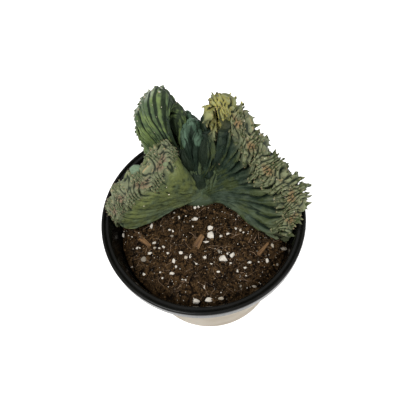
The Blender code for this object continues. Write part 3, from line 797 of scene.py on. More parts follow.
def free_soil(dice, margin):
    """A random place on the soil, away from the wall by margin."""
    r = soil_limit(margin) * math.sqrt(dice.random())
    angle = dice.uniform(0, math.tau)
    return r * math.cos(angle), r * math.sin(angle)


def make_crumbs(material):
    """Crumbs of peat scattered over the soil."""
    dice = random.Random(SEEDS["crumbs"])
    shapes = [grain(1, dice, 0.5) for _ in range(24)]
    heap = Heap()
    for _ in range(CRUMB_COUNT):
        x, y = free_soil(dice, CRUMB_MARGIN)
        size = 0.22 + 0.62 * dice.random() ** 2.4
        points, faces = dice.choice(shapes)
        stretch = np.array([1.0, dice.uniform(0.5, 1.0), dice.uniform(0.4, 0.9)])
        placed = (points * stretch * size) @ turn_matrix(dice, 0.3).T
        height = soil_height(x, y) + dice.uniform(-0.25, 0.3) + 0.25 * size
        heap.add(placed + np.array([x, y, height]), faces, tone=dice.random())
    heap.make("soil_crumbs", material, smooth=False)


def make_fibres(material):
    """Thin bent fibres of peat on the soil, leaving out any that would reach the wall."""
    dice = random.Random(SEEDS["fibres"])
    heap = Heap()
    steps, sides = FIBRE_STEPS, FIBRE_SIDES
    around = np.linspace(0, math.tau, sides, endpoint=False)
    for _ in range(FIBRE_COUNT):
        x, y = free_soil(dice, FIBRE_MARGIN)
        heading = dice.uniform(0, math.tau)
        length = dice.uniform(1.5, 7.5)
        thick = dice.uniform(0.07, 0.19)
        bend = dice.uniform(-0.9, 0.9)
        middles = []
        for i in range(steps):
            place = Vector((x, y, soil_height(x, y) + 0.35 + 0.25 * math.sin(math.pi * i / (steps - 1))))
            middles.append(place)
            x += math.cos(heading) * length / (steps - 1)
            y += math.sin(heading) * length / (steps - 1)
            heading += bend / (steps - 1) + dice.uniform(-0.25, 0.25)
        if math.hypot(x, y) > soil_limit(FIBRE_END_MARGIN):
            continue
        points = []
        for i, place in enumerate(middles):
            ahead = middles[min(i + 1, steps - 1)] - middles[max(i - 1, 0)]
            across = ahead.cross(Vector((0, 0, 1))).normalized()
            rise = across.cross(ahead).normalized()
            width = thick * (1 - 0.6 * (i / (steps - 1)) ** 2)
            points += [place + across * (width * math.cos(t)) + rise * (width * math.sin(t)) for t in around]
        heap.add(as_array(points), tube_triangles(steps, sides), tone=dice.random())
    heap.make("soil_fibres", material)


def make_perlite(material):
    """The grains that the photograph shows, and fine specks between them."""
    dice = random.Random(SEEDS["perlite"])
    heap = Heap()
    place = camera_place()
    limit = soil_limit(PERLITE_MARGIN)
    for x, y, wide, high, *tone in PERLITE:
        hit = soil_under_pixel(x, y)
        reach = math.hypot(hit.x, hit.y)
        if reach > limit:
            hit = Vector((hit.x * limit / reach, hit.y * limit / reach, 0.0))
            hit.z = soil_height(hit.x, hit.y)
        scale = (place - hit).length / focal_pixels()
        half = np.array([wide, high, 0.8 * min(wide, high)]) * scale * PERLITE_SHARE / 2
        points, faces = angular_grain(dice)
        placed = (points * half) @ np.array(Matrix.Rotation(math.radians(ROLL), 3, "Z")).T
        placed = placed + np.array([hit.x, hit.y, hit.z + 0.45 * half[2]])
        heap.add(placed, faces, tone=tone[0] if tone else 0.0)
    for _ in range(SPECK_COUNT):
        x, y = free_soil(dice, PERLITE_MARGIN)
        size = 0.14 + 0.24 * dice.random() ** 3
        points, faces = grain(1, dice, 0.35)
        height = soil_height(x, y) + 0.3 + 0.3 * size
        heap.add(points * size + np.array([x, y, height]), faces, tone=dice.choice((0.0, 0.0, CREAM, GREY)))
    heap.make("perlite_grains", material)


def make_bark(material):
    """Splinters with a grain along them, one end thinner than the other."""
    dice = random.Random(SEEDS["bark"])
    rings, sides = BARK_RINGS, BARK_SIDES
    for chip in BARK:
        length, width, thickness = chip["size"]
        seed = dice.randrange(1000)
        along = np.linspace(-0.5, 0.5, rings)[:, None]
        angle = np.linspace(0, math.tau, sides, endpoint=False)[None, :]
        across = np.sign(np.cos(angle)) * np.abs(np.cos(angle)) ** 0.45
        up = np.sign(np.sin(angle)) * np.abs(np.sin(angle)) ** 0.7
        taper = 1 - 0.45 * (along + 0.5)
        closing = np.clip((0.5 - np.abs(along)) / 0.06, 0, 1) ** 0.6
        strip = np.stack([along * 0 + across * 7, along * 0 + up * 3, along * 2 + 0 * up], axis=-1)
        ragged = layered_noise(strip, 1.0, 2, seed)
        grooves = layered_noise(strip * np.array([2.2, 2.2, 0.8]), 1.0, 2, seed + 5)
        x = length * (0.94 * along + 0.08 * ragged * (np.abs(along) * 2) ** 4)
        y = 0.8 * width / 2 * across * taper * closing * (1 + 0.12 * grooves)
        z = thickness / 2 * up * taper * closing * (1 + 0.14 * grooves)
        z = z + 0.25 * np.sin(math.pi * (along + 0.5))
        points = np.stack([x, y, z], axis=-1).reshape(-1, 3)
        turn = Matrix.Rotation(math.radians(chip["turn"]), 3, "Z")
        lean = Matrix.Rotation(math.radians(-chip["tilt"]), 3, "Y")
        middle = np.array([*chip["at"], soil_height(*chip["at"]) + 0.15 * thickness])
        points = points @ np.array(turn @ lean).T + middle
        faces = tube_faces(rings, sides).tolist()
        faces.append(list(range(sides))[::-1])
        faces.append([(rings - 1) * sides + i for i in range(sides)])
        values = {"grain": grooves.ravel()}
        piece = piece_of(chip["name"] + "_wood", points, faces, material, values)
        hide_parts(chip["name"])


# Plant


def spline(points, count):
    """A smooth curve through the points, resampled at even steps, and its length."""
    points = np.array(points, float)
    padded = np.concatenate([[2 * points[0] - points[1]], points, [2 * points[-1] - points[-2]]])
    t = np.linspace(0, 1, 24, endpoint=False)[:, None]
    parts = []
    for a, b, c, d in zip(padded, padded[1:], padded[2:], padded[3:]):
        parts.append(
            0.5 * (2 * b + (c - a) * t + (2 * a - 5 * b + 4 * c - d) * t**2 + (3 * b - a - 3 * c + d) * t**3)
        )
    fine = np.concatenate(parts + [points[-1:]])
    travel = np.concatenate([[0.0], np.cumsum(np.linalg.norm(np.diff(fine, axis=0), axis=1))])
    even = np.linspace(0, travel[-1], count)
    return np.stack([np.interp(even, travel, fine[:, k]) for k in range(3)], axis=1), travel[-1]


def fan_sheet(spec, columns, v):
    """The fan's middle sheet for rib shares v, with its sideways and upward directions."""
    edge, length = spline(spec["edge"], columns)
    hub = np.array(spec["hub"], float)
    u = np.linspace(0, 1, columns)[:, None]
    root = np.array(spec["root_at"]) + (u - 0.5) * np.array([*spec["root_span"], 0.0])
    upright = spec["upright"]
    out = unit(unit(edge - hub) * (1 - upright) + np.array([0.0, 0.0, upright]))
    edge = edge - spec["inset"] * out
    reach = np.linalg.norm(edge - hub, axis=1, keepdims=True)
    first = hub + spec["spread"] * (edge - hub) - np.array([0.0, 0.0, 4.0])
    second = edge - 0.40 * reach * out
    v = v[None, :, None]
    a, b, c, d = (q[:, None, :] for q in (root, first, second, edge))
    sheet = (1 - v) ** 3 * a + 3 * (1 - v) ** 2 * v * b + 3 * (1 - v) * v**2 * c + v**3 * d
    rise = 3 * (1 - v) ** 2 * (b - a) + 6 * (1 - v) * v * (c - b) + 3 * v**2 * (d - c)
    side = unit(np.cross(np.gradient(sheet, axis=0), rise))
    wave = WAVE_HEIGHT * np.sin(math.tau * length * u / WAVE_PITCH) * np.sin(math.pi * u) ** 0.5
    sheet = sheet + side * (wave[:, None] * v**3)
    return sheet, side, unit(rise), length


def keep_clear(points):
    """Moves points up off the soil and in from the pot's wall."""
    flat = points.reshape(-1, 3).copy()
    ground = np.array([soil_height(x, y) for x, y in flat[:, :2]])
    inside = np.linalg.norm((flat[:, :2] - FOOT_MIDDLE) / FOOT_HALF_WIDTHS, axis=1)
    flat[:, 2] = np.maximum(flat[:, 2], ground + np.where(inside > 0.7, SOIL_CLEARANCE, 0.6))
    z = flat[:, 2]
    limit = grow_inner_radius(np.minimum(z, 72)) - POT_CLEARANCE + np.maximum(0, z - 76)
    reach = np.maximum(np.hypot(flat[:, 0], flat[:, 1]), 1e-6)
    flat[:, :2] *= np.minimum(1, limit / reach)[:, None]
    return flat.reshape(points.shape)


def ridge(phase):
    """Rounded ridges with sharp furrows between them: 1 on a ridge, 0 in a furrow."""
    return np.abs(np.cos(math.pi * phase)) ** FURROW_SHARPNESS


def blurred(values, across, along):
    """The values averaged over their neighbours on the grid, by so many steps each way."""
    for axis, reach in ((0, across), (1, along)):
        for _ in range(2):
            beyond = [(reach + 1, reach) if k == axis else (0, 0) for k in (0, 1)]
            padded = np.pad(values, beyond, mode="edge")
            total = np.cumsum(padded, axis=axis)
            width = 2 * reach + 1
            upper = np.take(total, np.arange(width, total.shape[axis]), axis=axis)
            lower = np.take(total, np.arange(0, total.shape[axis] - width), axis=axis)
            values = (upper - lower) / width
    return values


def fingers(across, away, rib, facing, pitch, length, seed):
    """Pointed fingers that lie along the ribs and point away from the growing line.

    Gives how much each place rises, how near it is to a tip, and a number for each finger.
    """
    offset = 0.5 * (rib % 2) + 0.25 * hashed(rib, facing, seed)
    row = np.floor(away / length - offset)
    share = away / length - offset - row
    tip_at = 0.62 + 0.24 * hashed(rib, row, facing, seed + 1)
    along = np.where(share < tip_at, (share / tip_at) ** 1.3, (1 - share) / (1 - tip_at))
    width = pitch * (0.52 - 0.26 * np.clip(share / tip_at, 0, 1))
    sideways = across + 0.2 * pitch * (hashed(rib, row, facing, seed + 2) - 0.5) * share
    body = np.clip(1 - (sideways / width) ** 2, 0, 1) ** 0.8
    scale = 0.5 + 0.8 * hashed(rib, row, facing, seed + 3)
    near_tip = np.clip(1 - np.hypot(sideways, (share - tip_at) * length) / (0.26 * pitch), 0, 1)
    return scale * along * body, near_tip, (rib * 64 + row) * 2 + facing


def line_places(spec, u):
    """How far the growing line lies from the top of the crown, winding in and out at each knot."""
    shift = np.interp(u, *zip(*spec["line_shift"]))
    knots = list(spec["knots"])
    if len(knots) > 1:
        knots = [2 * knots[0] - knots[1]] + knots + [2 * knots[-1] - knots[-2]]
        turn = np.interp(u, knots, np.arange(len(knots)))
        shift = shift + spec["meander"] * ease(u, 0.08, 0.30) * np.cos(math.tau * turn)
    return shift


class Fan:
    """One fan's skin: columns along its edge, each up one flank, over the crown and down the other."""

    def __init__(self, spec):
        self.spec = spec
        self.seed = spec["seed"] * 100
        self.columns = round(spline(spec["edge"], 200)[1] / COLUMN_STEP)
        self.u = np.linspace(0, 1, self.columns)[:, None]
        self.make_skin()
        self.measure_from_line()
        self.number_ribs()
        self.raise_relief()

    def make_skin(self):
        """The smooth skin, and how full the fan is towards its two ends."""
        v = 1 - (1 - ROOT_SHARE) * np.linspace(1, 0, SIDE_STEPS + 1) ** 1.25
        sheet, self.side, up, self.length = fan_sheet(self.spec, self.columns, v)
        half = self.spec["half_thickness"]
        near_end = np.clip(np.minimum(self.u, 1 - self.u) * self.length / (1.1 * half), 0, 1)
        self.full = np.sqrt(np.clip(1 - (1 - near_end) ** 2, 0, 1))
        swell = 0.78 + 0.22 * np.sin(math.pi * np.clip((v - 0.35) / 0.65, 0, 1))
        body = half * swell * (1 - ROOT_TAPER * (1 - v) ** 2)
        drop = half * CAP_DEPTH
        flank = []
        for sign in (1, -1):
            offset = self.side * (sign * body[None, :] * self.full)[..., None]
            flank.append(sheet + offset - up[:, -1:] * (drop * v[None, :, None] ** 3))
        middle = sheet[:, -1] - up[:, -1] * drop
        cap = []
        for angle in np.linspace(90, -90, CAP_STEPS + 1)[1:-1] * math.pi / 180:
            outward = self.side[:, -1] * (body[-1] * math.sin(angle) * self.full)
            cap.append(middle + outward + up[:, -1] * (drop * math.cos(angle)))
        self.skin = np.concatenate([flank[0], np.stack(cap, axis=1), flank[1][:, ::-1]], axis=1)

    def measure_from_line(self):
        """How far each place is from the growing line, on which side, and which ways the skin faces."""
        step = np.linalg.norm(np.diff(self.skin, axis=1), axis=2)
        travel = np.concatenate([np.zeros((self.columns, 1)), np.cumsum(step, axis=1)], axis=1)
        to_camera = np.array((camera_place() - Vector(PLANT_MIDDLE)).normalized())
        front = 1 if np.mean(self.side[:, -1] @ to_camera) > 0 else -1
        shift = line_places(self.spec, self.u)
        slope = np.gradient(shift[:, 0])[:, None] * (self.columns - 1) / self.length
        top_row = SIDE_STEPS + 1 + (CAP_STEPS - 1) // 2
        signed = travel - travel[:, top_row : top_row + 1] + front * shift
        self.away = np.abs(signed) / np.sqrt(1 + slope**2)
        self.facing = (signed * front < 0).astype(int)
        along, around = np.gradient(self.skin, axis=0), unit(np.gradient(self.skin, axis=1))
        self.normal = unit(np.cross(along, around))
        if np.sum(self.normal[:, 4] * self.side[:, 4]) < 0:
            self.normal = -self.normal
        self.outward = around * np.sign(signed)[..., None]
        self.spacing = np.clip(np.linalg.norm(along, axis=2) / (self.length / (self.columns - 1)), 0.0, 1.2)
        self.over = self.u * self.length + 0 * self.away
        self.foot_of = self.over - front * slope * signed * np.exp(-((self.away / 7.5) ** 2))
        self.drift = np.stack([self.over, self.away, self.facing * 40.0], axis=-1)

    def wander(self, size, layers, seed):
        """Noise that follows the skin, apart on its two sides."""
        return layered_noise(self.drift, size, layers, self.seed + seed)

    def number_ribs(self):
        """Which broad rib and which fine rib each place is on, as numbers that rise along the edge."""
        split, tangle = self.spec["split"], self.spec["tangle"]
        ribs = split * max(2, round(self.length / self.spec["pitch"] / split))
        self.pitch = self.length / ribs
        self.broad = self.foot_of / self.pitch / split
        self.broad = self.broad + tangle * 0.30 * self.wander(13.0, 2, 0)
        self.broad = self.broad + tangle * 0.07 * self.wander(4.0, 2, 2)
        self.fine = self.broad * split + (0.5 if split % 2 == 0 else 0.0)

    def rib_relief(self):
        """The height of the ribs: broad on the face, fine towards the line, with thin lines between."""
        spec, away, spacing = self.spec, self.away, self.spacing
        broad_reach = ease(away, 1.5, 9.0) * ease(spacing, *spec["broad_fade"])
        broad_reach = broad_reach * (0.55 + 0.75 * hashed(np.round(self.broad), self.facing, self.seed + 13))
        fine_reach = 1 - ease(away, spec["ribs_to"] - 6, spec["ribs_to"] + 3)
        fine_reach = fine_reach * (0.35 + 0.65 * ease(away, 0.5, 4.0)) * np.clip(spacing * 1.3, 0, 1)
        uneven = np.clip(1 + 0.6 * self.wander(7.0, 2, 5), 0.3, 1.8)
        relief = spec["broad_depth"] * uneven * (ridge(self.broad) - 0.72) * broad_reach
        relief = relief + spec["rib_depth"] * uneven * (ridge(self.fine) - 0.72) * fine_reach
        relief = relief + 0.25 * (ridge(2 * self.fine + 0.5) - 0.7) * (1 - ease(away, 3, 9))
        relief = relief + 0.35 * self.wander(5.0, 2, 9) * ease(away, 2, 8)
        winding = self.broad * 2.0 + 0.5 * self.wander(8.0, 2, 15)
        thin = np.exp(-((np.cos(math.pi * winding) / 0.10) ** 2)) * ease(self.wander(6.0, 1, 17), -0.1, 0.25)
        relief = relief - spec["thin_lines"] * thin * ease(away, 4, 8) * ease(spacing, 0.1, 0.4)
        return relief + 0.20 * layered_noise(self.skin, 2.2, 3, self.seed + 20)

    def raise_relief(self):
        """Moves the skin out by its ribs and fingers, and in at the growing line."""
        spec, rib = self.spec, np.round(self.fine)
        across = (self.fine - rib) * self.pitch * self.spacing
        length, height = spec["finger"]
        lift, self.near_tip, self.finger = fingers(
            across, self.away - 0.6, rib, self.facing, self.pitch, length, self.seed + 7
        )
        self.dressed = 1 - ease(self.u, *spec["bare"])
        on_crown = (1 - ease(self.away, spec["fingers_to"] * 0.6, spec["fingers_to"])) * self.dressed
        lift = lift * on_crown * np.clip(self.spacing * 1.4, 0, 1) * height * np.where(self.facing, 0.7, 1.0)
        self.tip = self.near_tip * on_crown
        self.line = np.exp(-((self.away / LINE_WIDTH) ** 2))
        deepest = -0.5 * spec["half_thickness"] * self.full
        relief = np.maximum(self.rib_relief() - LINE_DEPTH * self.line, deepest)
        strength = self.full**0.6
        self.raised = (relief + lift) * strength
        move = self.normal * self.raised[..., None] + self.outward * (0.75 * lift * strength)[..., None]
        self.points = keep_clear(self.skin + move)
        for end in (0, -1):
            self.points[end] = self.points[end].mean(axis=0)
        self.lean = layered_noise(self.skin, 3.0, 2, self.seed + 40)
        knob = 1 - ease(self.over + 3 * self.lean, *KNOB_ALONG)
        knob = knob * (1 - ease(self.away + 2 * self.lean, *KNOB_ACROSS))
        self.knob = spec["knob"] * knob * ease(self.points[..., 2] + 2 * self.lean, *KNOB_HEIGHTS)

    def numbers(self):
        """What the skin's material reads at each place."""
        spec, away, over = self.spec, self.away, self.over
        # Painted shade and highlight: rise is lowered far from the line and towards the fan's end, and
        # follows the height over the blurred neighbours; the material paints shade where rise is low and a
        # highlight where it is high
        sunk = spec["sunk"] * ease(away, spec["sunk_from"], 2.2 * spec["sunk_from"])
        sunk = sunk + spec["dim_end"] * ease(self.u, 0.62, 0.76)
        rise = 0.5 - sunk
        for reach_across, reach_along, weight in HOLLOWS:
            rise = rise + weight * (self.raised - blurred(self.raised, reach_across, reach_along))
        knots = 0 * away
        for at in spec["knots"]:
            knots = knots + np.exp(-(((over - at * self.length) / KNOT_WIDTH) ** 2))
        along_ribs = np.stack([self.broad * spec["split"], away / 14.0, self.facing * 40.0], axis=-1)
        return {
            "rise": np.clip(rise, 0, 1),
            "crown": self.dressed * (1 - ease(away + 1.5 * self.lean, 1.0, spec["fingers_to"] * 1.15)),
            "tip": self.tip,
            "felt": np.exp(-((away / 2.2) ** 2)) * knots + 0.20 * self.line,
            "knob": self.knob,
            "streak": spec["streaks"] * layered_noise(along_ribs, 1.3, 3, self.seed + 60),
            "low": spec["base"] * (1 - ease(self.points[..., 2] + 4 * self.lean, *BASE_HEIGHTS)),
        }

    def at_tips(self, *fields):
        """The fields' values at the tip of each finger."""
        wanted = (self.tip > 0.3) & (self.full > 0.5)
        finger = self.finger[wanted]
        order = np.lexsort((-self.near_tip[wanted], finger))
        first = np.ones(len(order), bool)
        first[1:] = finger[order][1:] != finger[order][:-1]
        return [field[wanted][order][first] for field in fields]


def make_fan(name, spec, skin, tooth, spine):
    fan = Fan(spec)
    faces = grid_faces(fan.columns, fan.skin.shape[1])
    piece = piece_of(name, fan.points.reshape(-1, 3), faces, skin, fan.numbers())
    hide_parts("crest")
    points, normal, outward, away, facing, knob = fan.at_tips(
        fan.points, fan.normal, fan.outward, fan.away, fan.facing, fan.knob
    )
    if len(points):
        make_teeth(f"{name}_teeth", points, normal, outward, away, facing, knob, spec["tooth"], tooth)
        close = away < SPINES_TO
        make_spines(f"{name}_spines", points[close], normal[close], outward[close], spine)
    return fan.points.reshape(-1, 3), fan.normal.reshape(-1, 3), faces


def flesh_cone(base, aim, across, long, wide, form):
    """A curved pointed scale of flesh: its points, its faces and how near each point is to the tip."""
    around = np.linspace(0, math.tau, TOOTH_SIDES, endpoint=False)
    thick = across.cross(aim)
    points, tones = [], []
    for share, radius, tone in form["rings"]:
        bent = form["bend"] * long * max(share, form["bend_from"]) ** 2
        middle = base + aim * (long * share) - thick * bent
        for t in around:
            sideways, deep = wide * radius * math.cos(t), form["flat"] * wide * radius * math.sin(t)
            points.append(middle + across * sideways + thick * deep)
            tones.append(tone)
    points.append(base + aim * long)
    tip = len(points) - 1
    last = np.arange(tip - TOOTH_SIDES, tip)
    point = np.stack([last, np.roll(last, -1), np.full(TOOTH_SIDES, tip)], axis=1)
    faces = np.concatenate([tube_triangles(len(form["rings"]), TOOTH_SIDES), point])
    return as_array(points), faces, np.array([*tones, 1.0])


def make_teeth(name, points, normal, outward, distance, behind, tint, size, material):
    """A pointed tubercle of flesh at the end of each finger."""
    dice = random.Random(len(points) + 1)
    heap = Heap()
    length, half_width = size
    for place, up, out, gone, far, knob in zip(points, normal, outward, distance, behind, tint):
        shrink = (0.7 + 0.3 * min(gone / 4, 1)) * dice.uniform(0.6, 1.2) * (1.0 - 0.35 * knob)
        long = length * shrink * (0.65 if far else 1.0)
        wide = half_width * shrink * dice.uniform(0.8, 1.1) * (1.2 if far else 1.0)
        aim = Vector(up) * dice.uniform(0.25, 0.8) + Vector(out)
        aim = (aim + Vector([dice.uniform(-0.3, 0.3) for _ in range(3)])).normalized()
        across = aim.cross(Vector(up)).normalized()
        skin, faces, tone = flesh_cone(Vector(place), aim, across, long, wide, TIP_FORM)
        heap.add(skin, faces, tone=tone * dice.uniform(0.5, 1.0), knob=knob)
    heap.make(name, material)


def make_outline_teeth(name, points, normals, wanted, material):
    """The teeth along the fan's outline, each with its tip on its pixel's sight line."""
    dice = random.Random(SEEDS["outline"])
    heap = Heap()
    seen = pixels_of(points)
    place = camera_place()
    for pixel in wanted:
        nearest = int(np.argmin(np.linalg.norm(seen - np.array(pixel), axis=1)))
        base = Vector(points[nearest])
        sight = sight_line(*pixel)
        tip = place + sight * (base - place).dot(sight)
        aim = tip - base + Vector(normals[nearest]) * 0.5
        shortest, longest = OUTLINE_TOOTH_LENGTH
        long = min(max(aim.length, shortest), longest)
        aim.normalize()
        across = aim.cross(sight).normalized()
        wide = min(OUTLINE_TOOTH_WIDEST, long * dice.uniform(0.42, 0.55))
        root = base - aim * OUTLINE_TOOTH_ROOT
        whole = long + OUTLINE_TOOTH_ROOT
        skin, faces, tone = flesh_cone(root, aim, across, whole, wide, OUTLINE_FORM)
        knob = 1.0 if pixel[0] < KNOB_TEETH_LEFT_OF else 0.0
        heap.add(skin, faces, tone=tone * dice.uniform(0.35, 0.7), knob=knob)
    heap.make(name, material)


def make_tufts(tree, material):
    """Tufts of pale wool at the areoles that stand out in the photograph."""
    dice = random.Random(SEEDS["tufts"])
    heap = Heap()
    place = camera_place()
    for x, y, wide, tone in TUFTS:
        hit, normal, _, far = tree.ray_cast(place, sight_line(x, y))
        if hit is None:
            continue
        size = 0.5 * wide * far / focal_pixels()
        for _ in range(4):
            points, faces = grain(1, dice, 0.4)
            shift = np.array([dice.uniform(-0.5, 0.5) for _ in range(3)]) * size
            middle = np.array(hit) + np.array(normal) * (0.35 * size) + shift
            shade = min(1.0, max(0.0, tone + dice.uniform(-0.15, 0.15)))
            heap.add(points * (0.6 * size) + middle, faces, tone=shade)
    heap.make("areole_tufts", material)


def plain_skin(count, **values):
    """The numbers that the skin's material reads, for a piece with no ribs."""
    return {key: np.zeros(count) + values.get(key, 0.0) for key in SKIN_NUMBERS}


def make_swelling(tree, name, pixel, radii, material):
    """A smooth rounded outgrowth on the plant's skin."""
    hit, normal, _, _ = tree.ray_cast(camera_place(), sight_line(*pixel))
    turn = normal.to_track_quat("Z", "Y").to_matrix()
    ball = ball_points(48, 30)
    ball = ball * (1 + 0.12 * layered_noise(ball * 1.6, 1.0, 2, 61))[..., None] * np.array(radii)
    points = ball @ np.array(turn).T + np.array(hit) + 0.25 * radii[2] * np.array(normal)
    faces = ring_faces(*ball.shape[:2])
    flat = points.reshape(-1, 3)
    piece_of(f"crest_{name}", flat, faces, material, plain_skin(len(flat), rise=0.55))


def make_spines(name, points, normal, outward, material):
    """A few short spines at the tip of each tubercle."""
    dice = random.Random(len(points))
    heap = Heap()
    for place, up, out in zip(points, normal, outward):
        lean = up * 0.8 + out
        for _ in range(dice.choice((1, 2, 2, 3))):
            aim = Vector(lean) + Vector([dice.uniform(-0.8, 0.8) for _ in range(3)])
            aim.normalize()
            across = aim.orthogonal().normalized()
            upward = aim.cross(across)
            length = dice.uniform(*SPINE_LENGTH)
            base = Vector(place) - aim * 0.25
            turns = [across * math.cos(t) + upward * math.sin(t) for t in (0.0, 2.1, 4.2)]
            spike = as_array([*(base + turn * SPINE_WIDTH for turn in turns), base + aim * length])
            heap.add(spike, np.array([[0, 1, 3], [1, 2, 3], [2, 0, 3]]), tone=dice.random())
    heap.make(name, material)


def make_foot(material):
    """The stem in the soil and the swellings where the fans join."""
    columns, rows = 120, 60
    around = np.linspace(0, math.tau, columns, endpoint=False)
    heights, shares = np.array(FOOT_RINGS).T
    z = np.linspace(heights[0], heights[-1], rows)
    share = np.interp(z, heights, shares)
    ring = np.stack([np.cos(around) * FOOT_HALF_WIDTHS[0], np.sin(around) * FOOT_HALF_WIDTHS[1]], axis=-1)
    stem = np.empty((columns, rows, 3))
    stem[..., :2] = np.array(FOOT_MIDDLE) + ring[:, None] * share[None, :, None]
    stem[..., 2] = z
    stem[..., :2] += 0.2 * layered_noise(stem, 2.0, 2, 77)[..., None] * (stem[..., :2] - FOOT_MIDDLE) / 8
    parts = [stem]
    ball = ball_points(columns, rows)
    narrowing = np.cos(np.linspace(-math.pi / 2, math.pi / 2, rows))[None, :]
    folds = ridge(around[:, None] * 13 / math.tau + 0.40 * layered_noise(ball * 2.5, 1.0, 2, 88))
    bumpy = 1 - 0.13 * (1 - folds) * narrowing + 0.02 * layered_noise(ball * 9, 1.0, 2, 88)
    for middle, radii in HEART:
        parts.append(np.array(middle) + ball * np.array(radii) * bumpy[..., None])
    points = np.concatenate([part.reshape(-1, 3) for part in parts])
    faces = [ring_faces(columns, rows) + i * columns * rows for i in range(len(parts))]
    # Painted shade: rise drops higher up the heart, so the material darkens it as if shaded among the fans
    values = plain_skin(len(points), rise=0.35 - 0.25 * ease(points[:, 2], 72, 84), low=1.0)
    piece = piece_of("crest_foot", points, np.concatenate(faces), material, values)
    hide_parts("crest")


def make_plant():
    spine = spine_material()
    all_points, all_faces, count = [], [], 0
    for name, spec in FANS.items():
        skin = skin_material(f"skin_{name}", spec["face"], spec["blotch"], spec["crown"], spec["felt"])
        tooth = tooth_material(f"teeth_{name}", spec["crown"], spec["blotch"])
        points, normals, faces = make_fan(f"crest_{name}", spec, skin, tooth, spine)
        all_points += [Vector(point) for point in points]
        all_faces += (faces + count).tolist()
        count += len(points)
        if name == "right":
            make_outline_teeth("crest_outline_teeth", points, normals, OUTLINE_TEETH, tooth)
    make_foot(skin_material("skin_foot", FANS["right"]["blotch"], FANS["left_front"]["blotch"], BLOOM))
    tree = BVHTree.FromPolygons(all_points, all_faces)
    make_tufts(tree, tuft_material())
    for name, pixel, radii, colour in SWELLINGS:
        make_swelling(tree, name, pixel, radii, skin_material(f"skin_{name}", colour, colour, colour))


# Materials: the numbers of a Mix node's colour sockets come first
MIX_UNDER = 6
MIX_OVER = 7
MIX_OUT = 2


class Shade:
    """A node material, with short ways to wire it and to lay one colour over another."""

    def __init__(self, name, colour, **settings):
        self.material = bpy.data.materials.new(name)
        self.material.use_nodes = True
        self.tree = self.material.node_tree
        self.shader = next(node for node in self.tree.nodes if node.type == "BSDF_PRINCIPLED")
        for key, value in settings.items():
            self.to_shader(key.replace("_", " "), value)
        self.place = self.tree.nodes.new("ShaderNodeTexCoord").outputs["Object"]
        self.colour = colour

    def join(self, value, socket):
        if isinstance(value, bpy.types.NodeSocket):
            self.tree.links.new(value, socket)
        elif isinstance(value, tuple):
            socket.default_value = (*value, 1.0)
        else:
            socket.default_value = value

    def to_shader(self, key, value):
        self.join(value, self.shader.inputs[key])

    def node(self, kind, inputs, output, **settings):
        """One output of a new node, with its inputs joined."""
        node = self.tree.nodes.new("ShaderNode" + kind)
        for key, value in settings.items():
            setattr(node, key, value)
        for key, value in inputs.items():
            self.join(value, node.inputs[key])
        return node.outputs[output]

    def stored(self, key):
        """A number stored on the mesh."""
        return self.node("Attribute", {}, "Fac", attribute_name=key)

    def noise(self, size, detail=3.0, roughness=0.5):
        """Noise with features about size millimetres across."""
        inputs = {"Scale": 1 / (size * MM), "Detail": detail, "Roughness": roughness}
        return self.node("TexNoise", {"Vector": self.place} | inputs, "Fac")

    def spots(self, size):
        """How far each place is from the nearest of many scattered points, in units of size millimetres."""
        return self.node("TexVoronoi", {"Vector": self.place, "Scale": 1 / (size * MM)}, "Distance")

    def steps(self, value, low, high, to_low=0.0, to_high=1.0):
        """to_low where value is low, to_high where it is high, with a smooth turn between them."""
        inputs = {"Value": value, "From Min": low, "From Max": high, "To Min": to_low, "To Max": to_high}
        return self.node("MapRange", inputs, "Result", interpolation_type="SMOOTHSTEP")

    def math(self, how, a, b):
        return self.node("Math", {0: a, 1: b}, 0, operation=how)

    def product(self, a, b):
        return self.math("MULTIPLY", a, b)

    def bump(self, height, depth, strength=1.0, under=None):
        """Fine relief depth millimetres high, on top of the relief under it."""
        inputs = {"Height": height, "Distance": depth * MM, "Strength": strength}
        if under:
            inputs["Normal"] = under
        return self.node("Bump", inputs, "Normal")

    def cover(self, colour, share):
        """Lays a colour over what is there, by a share from 0 to 1."""
        inputs = {0: share, MIX_UNDER: self.colour, MIX_OVER: colour}
        self.colour = self.node("Mix", inputs, MIX_OUT, data_type="RGBA")

    def paint(self, colour, value, low, high, most=1.0):
        """Lays a colour on where value has turned from low to high."""
        self.cover(colour, self.steps(value, low, high, 0.0, most))

    def finished(self, normal=None):
        self.to_shader("Base Color", self.colour)
        if normal:
            self.to_shader("Normal", normal)
        return self.material


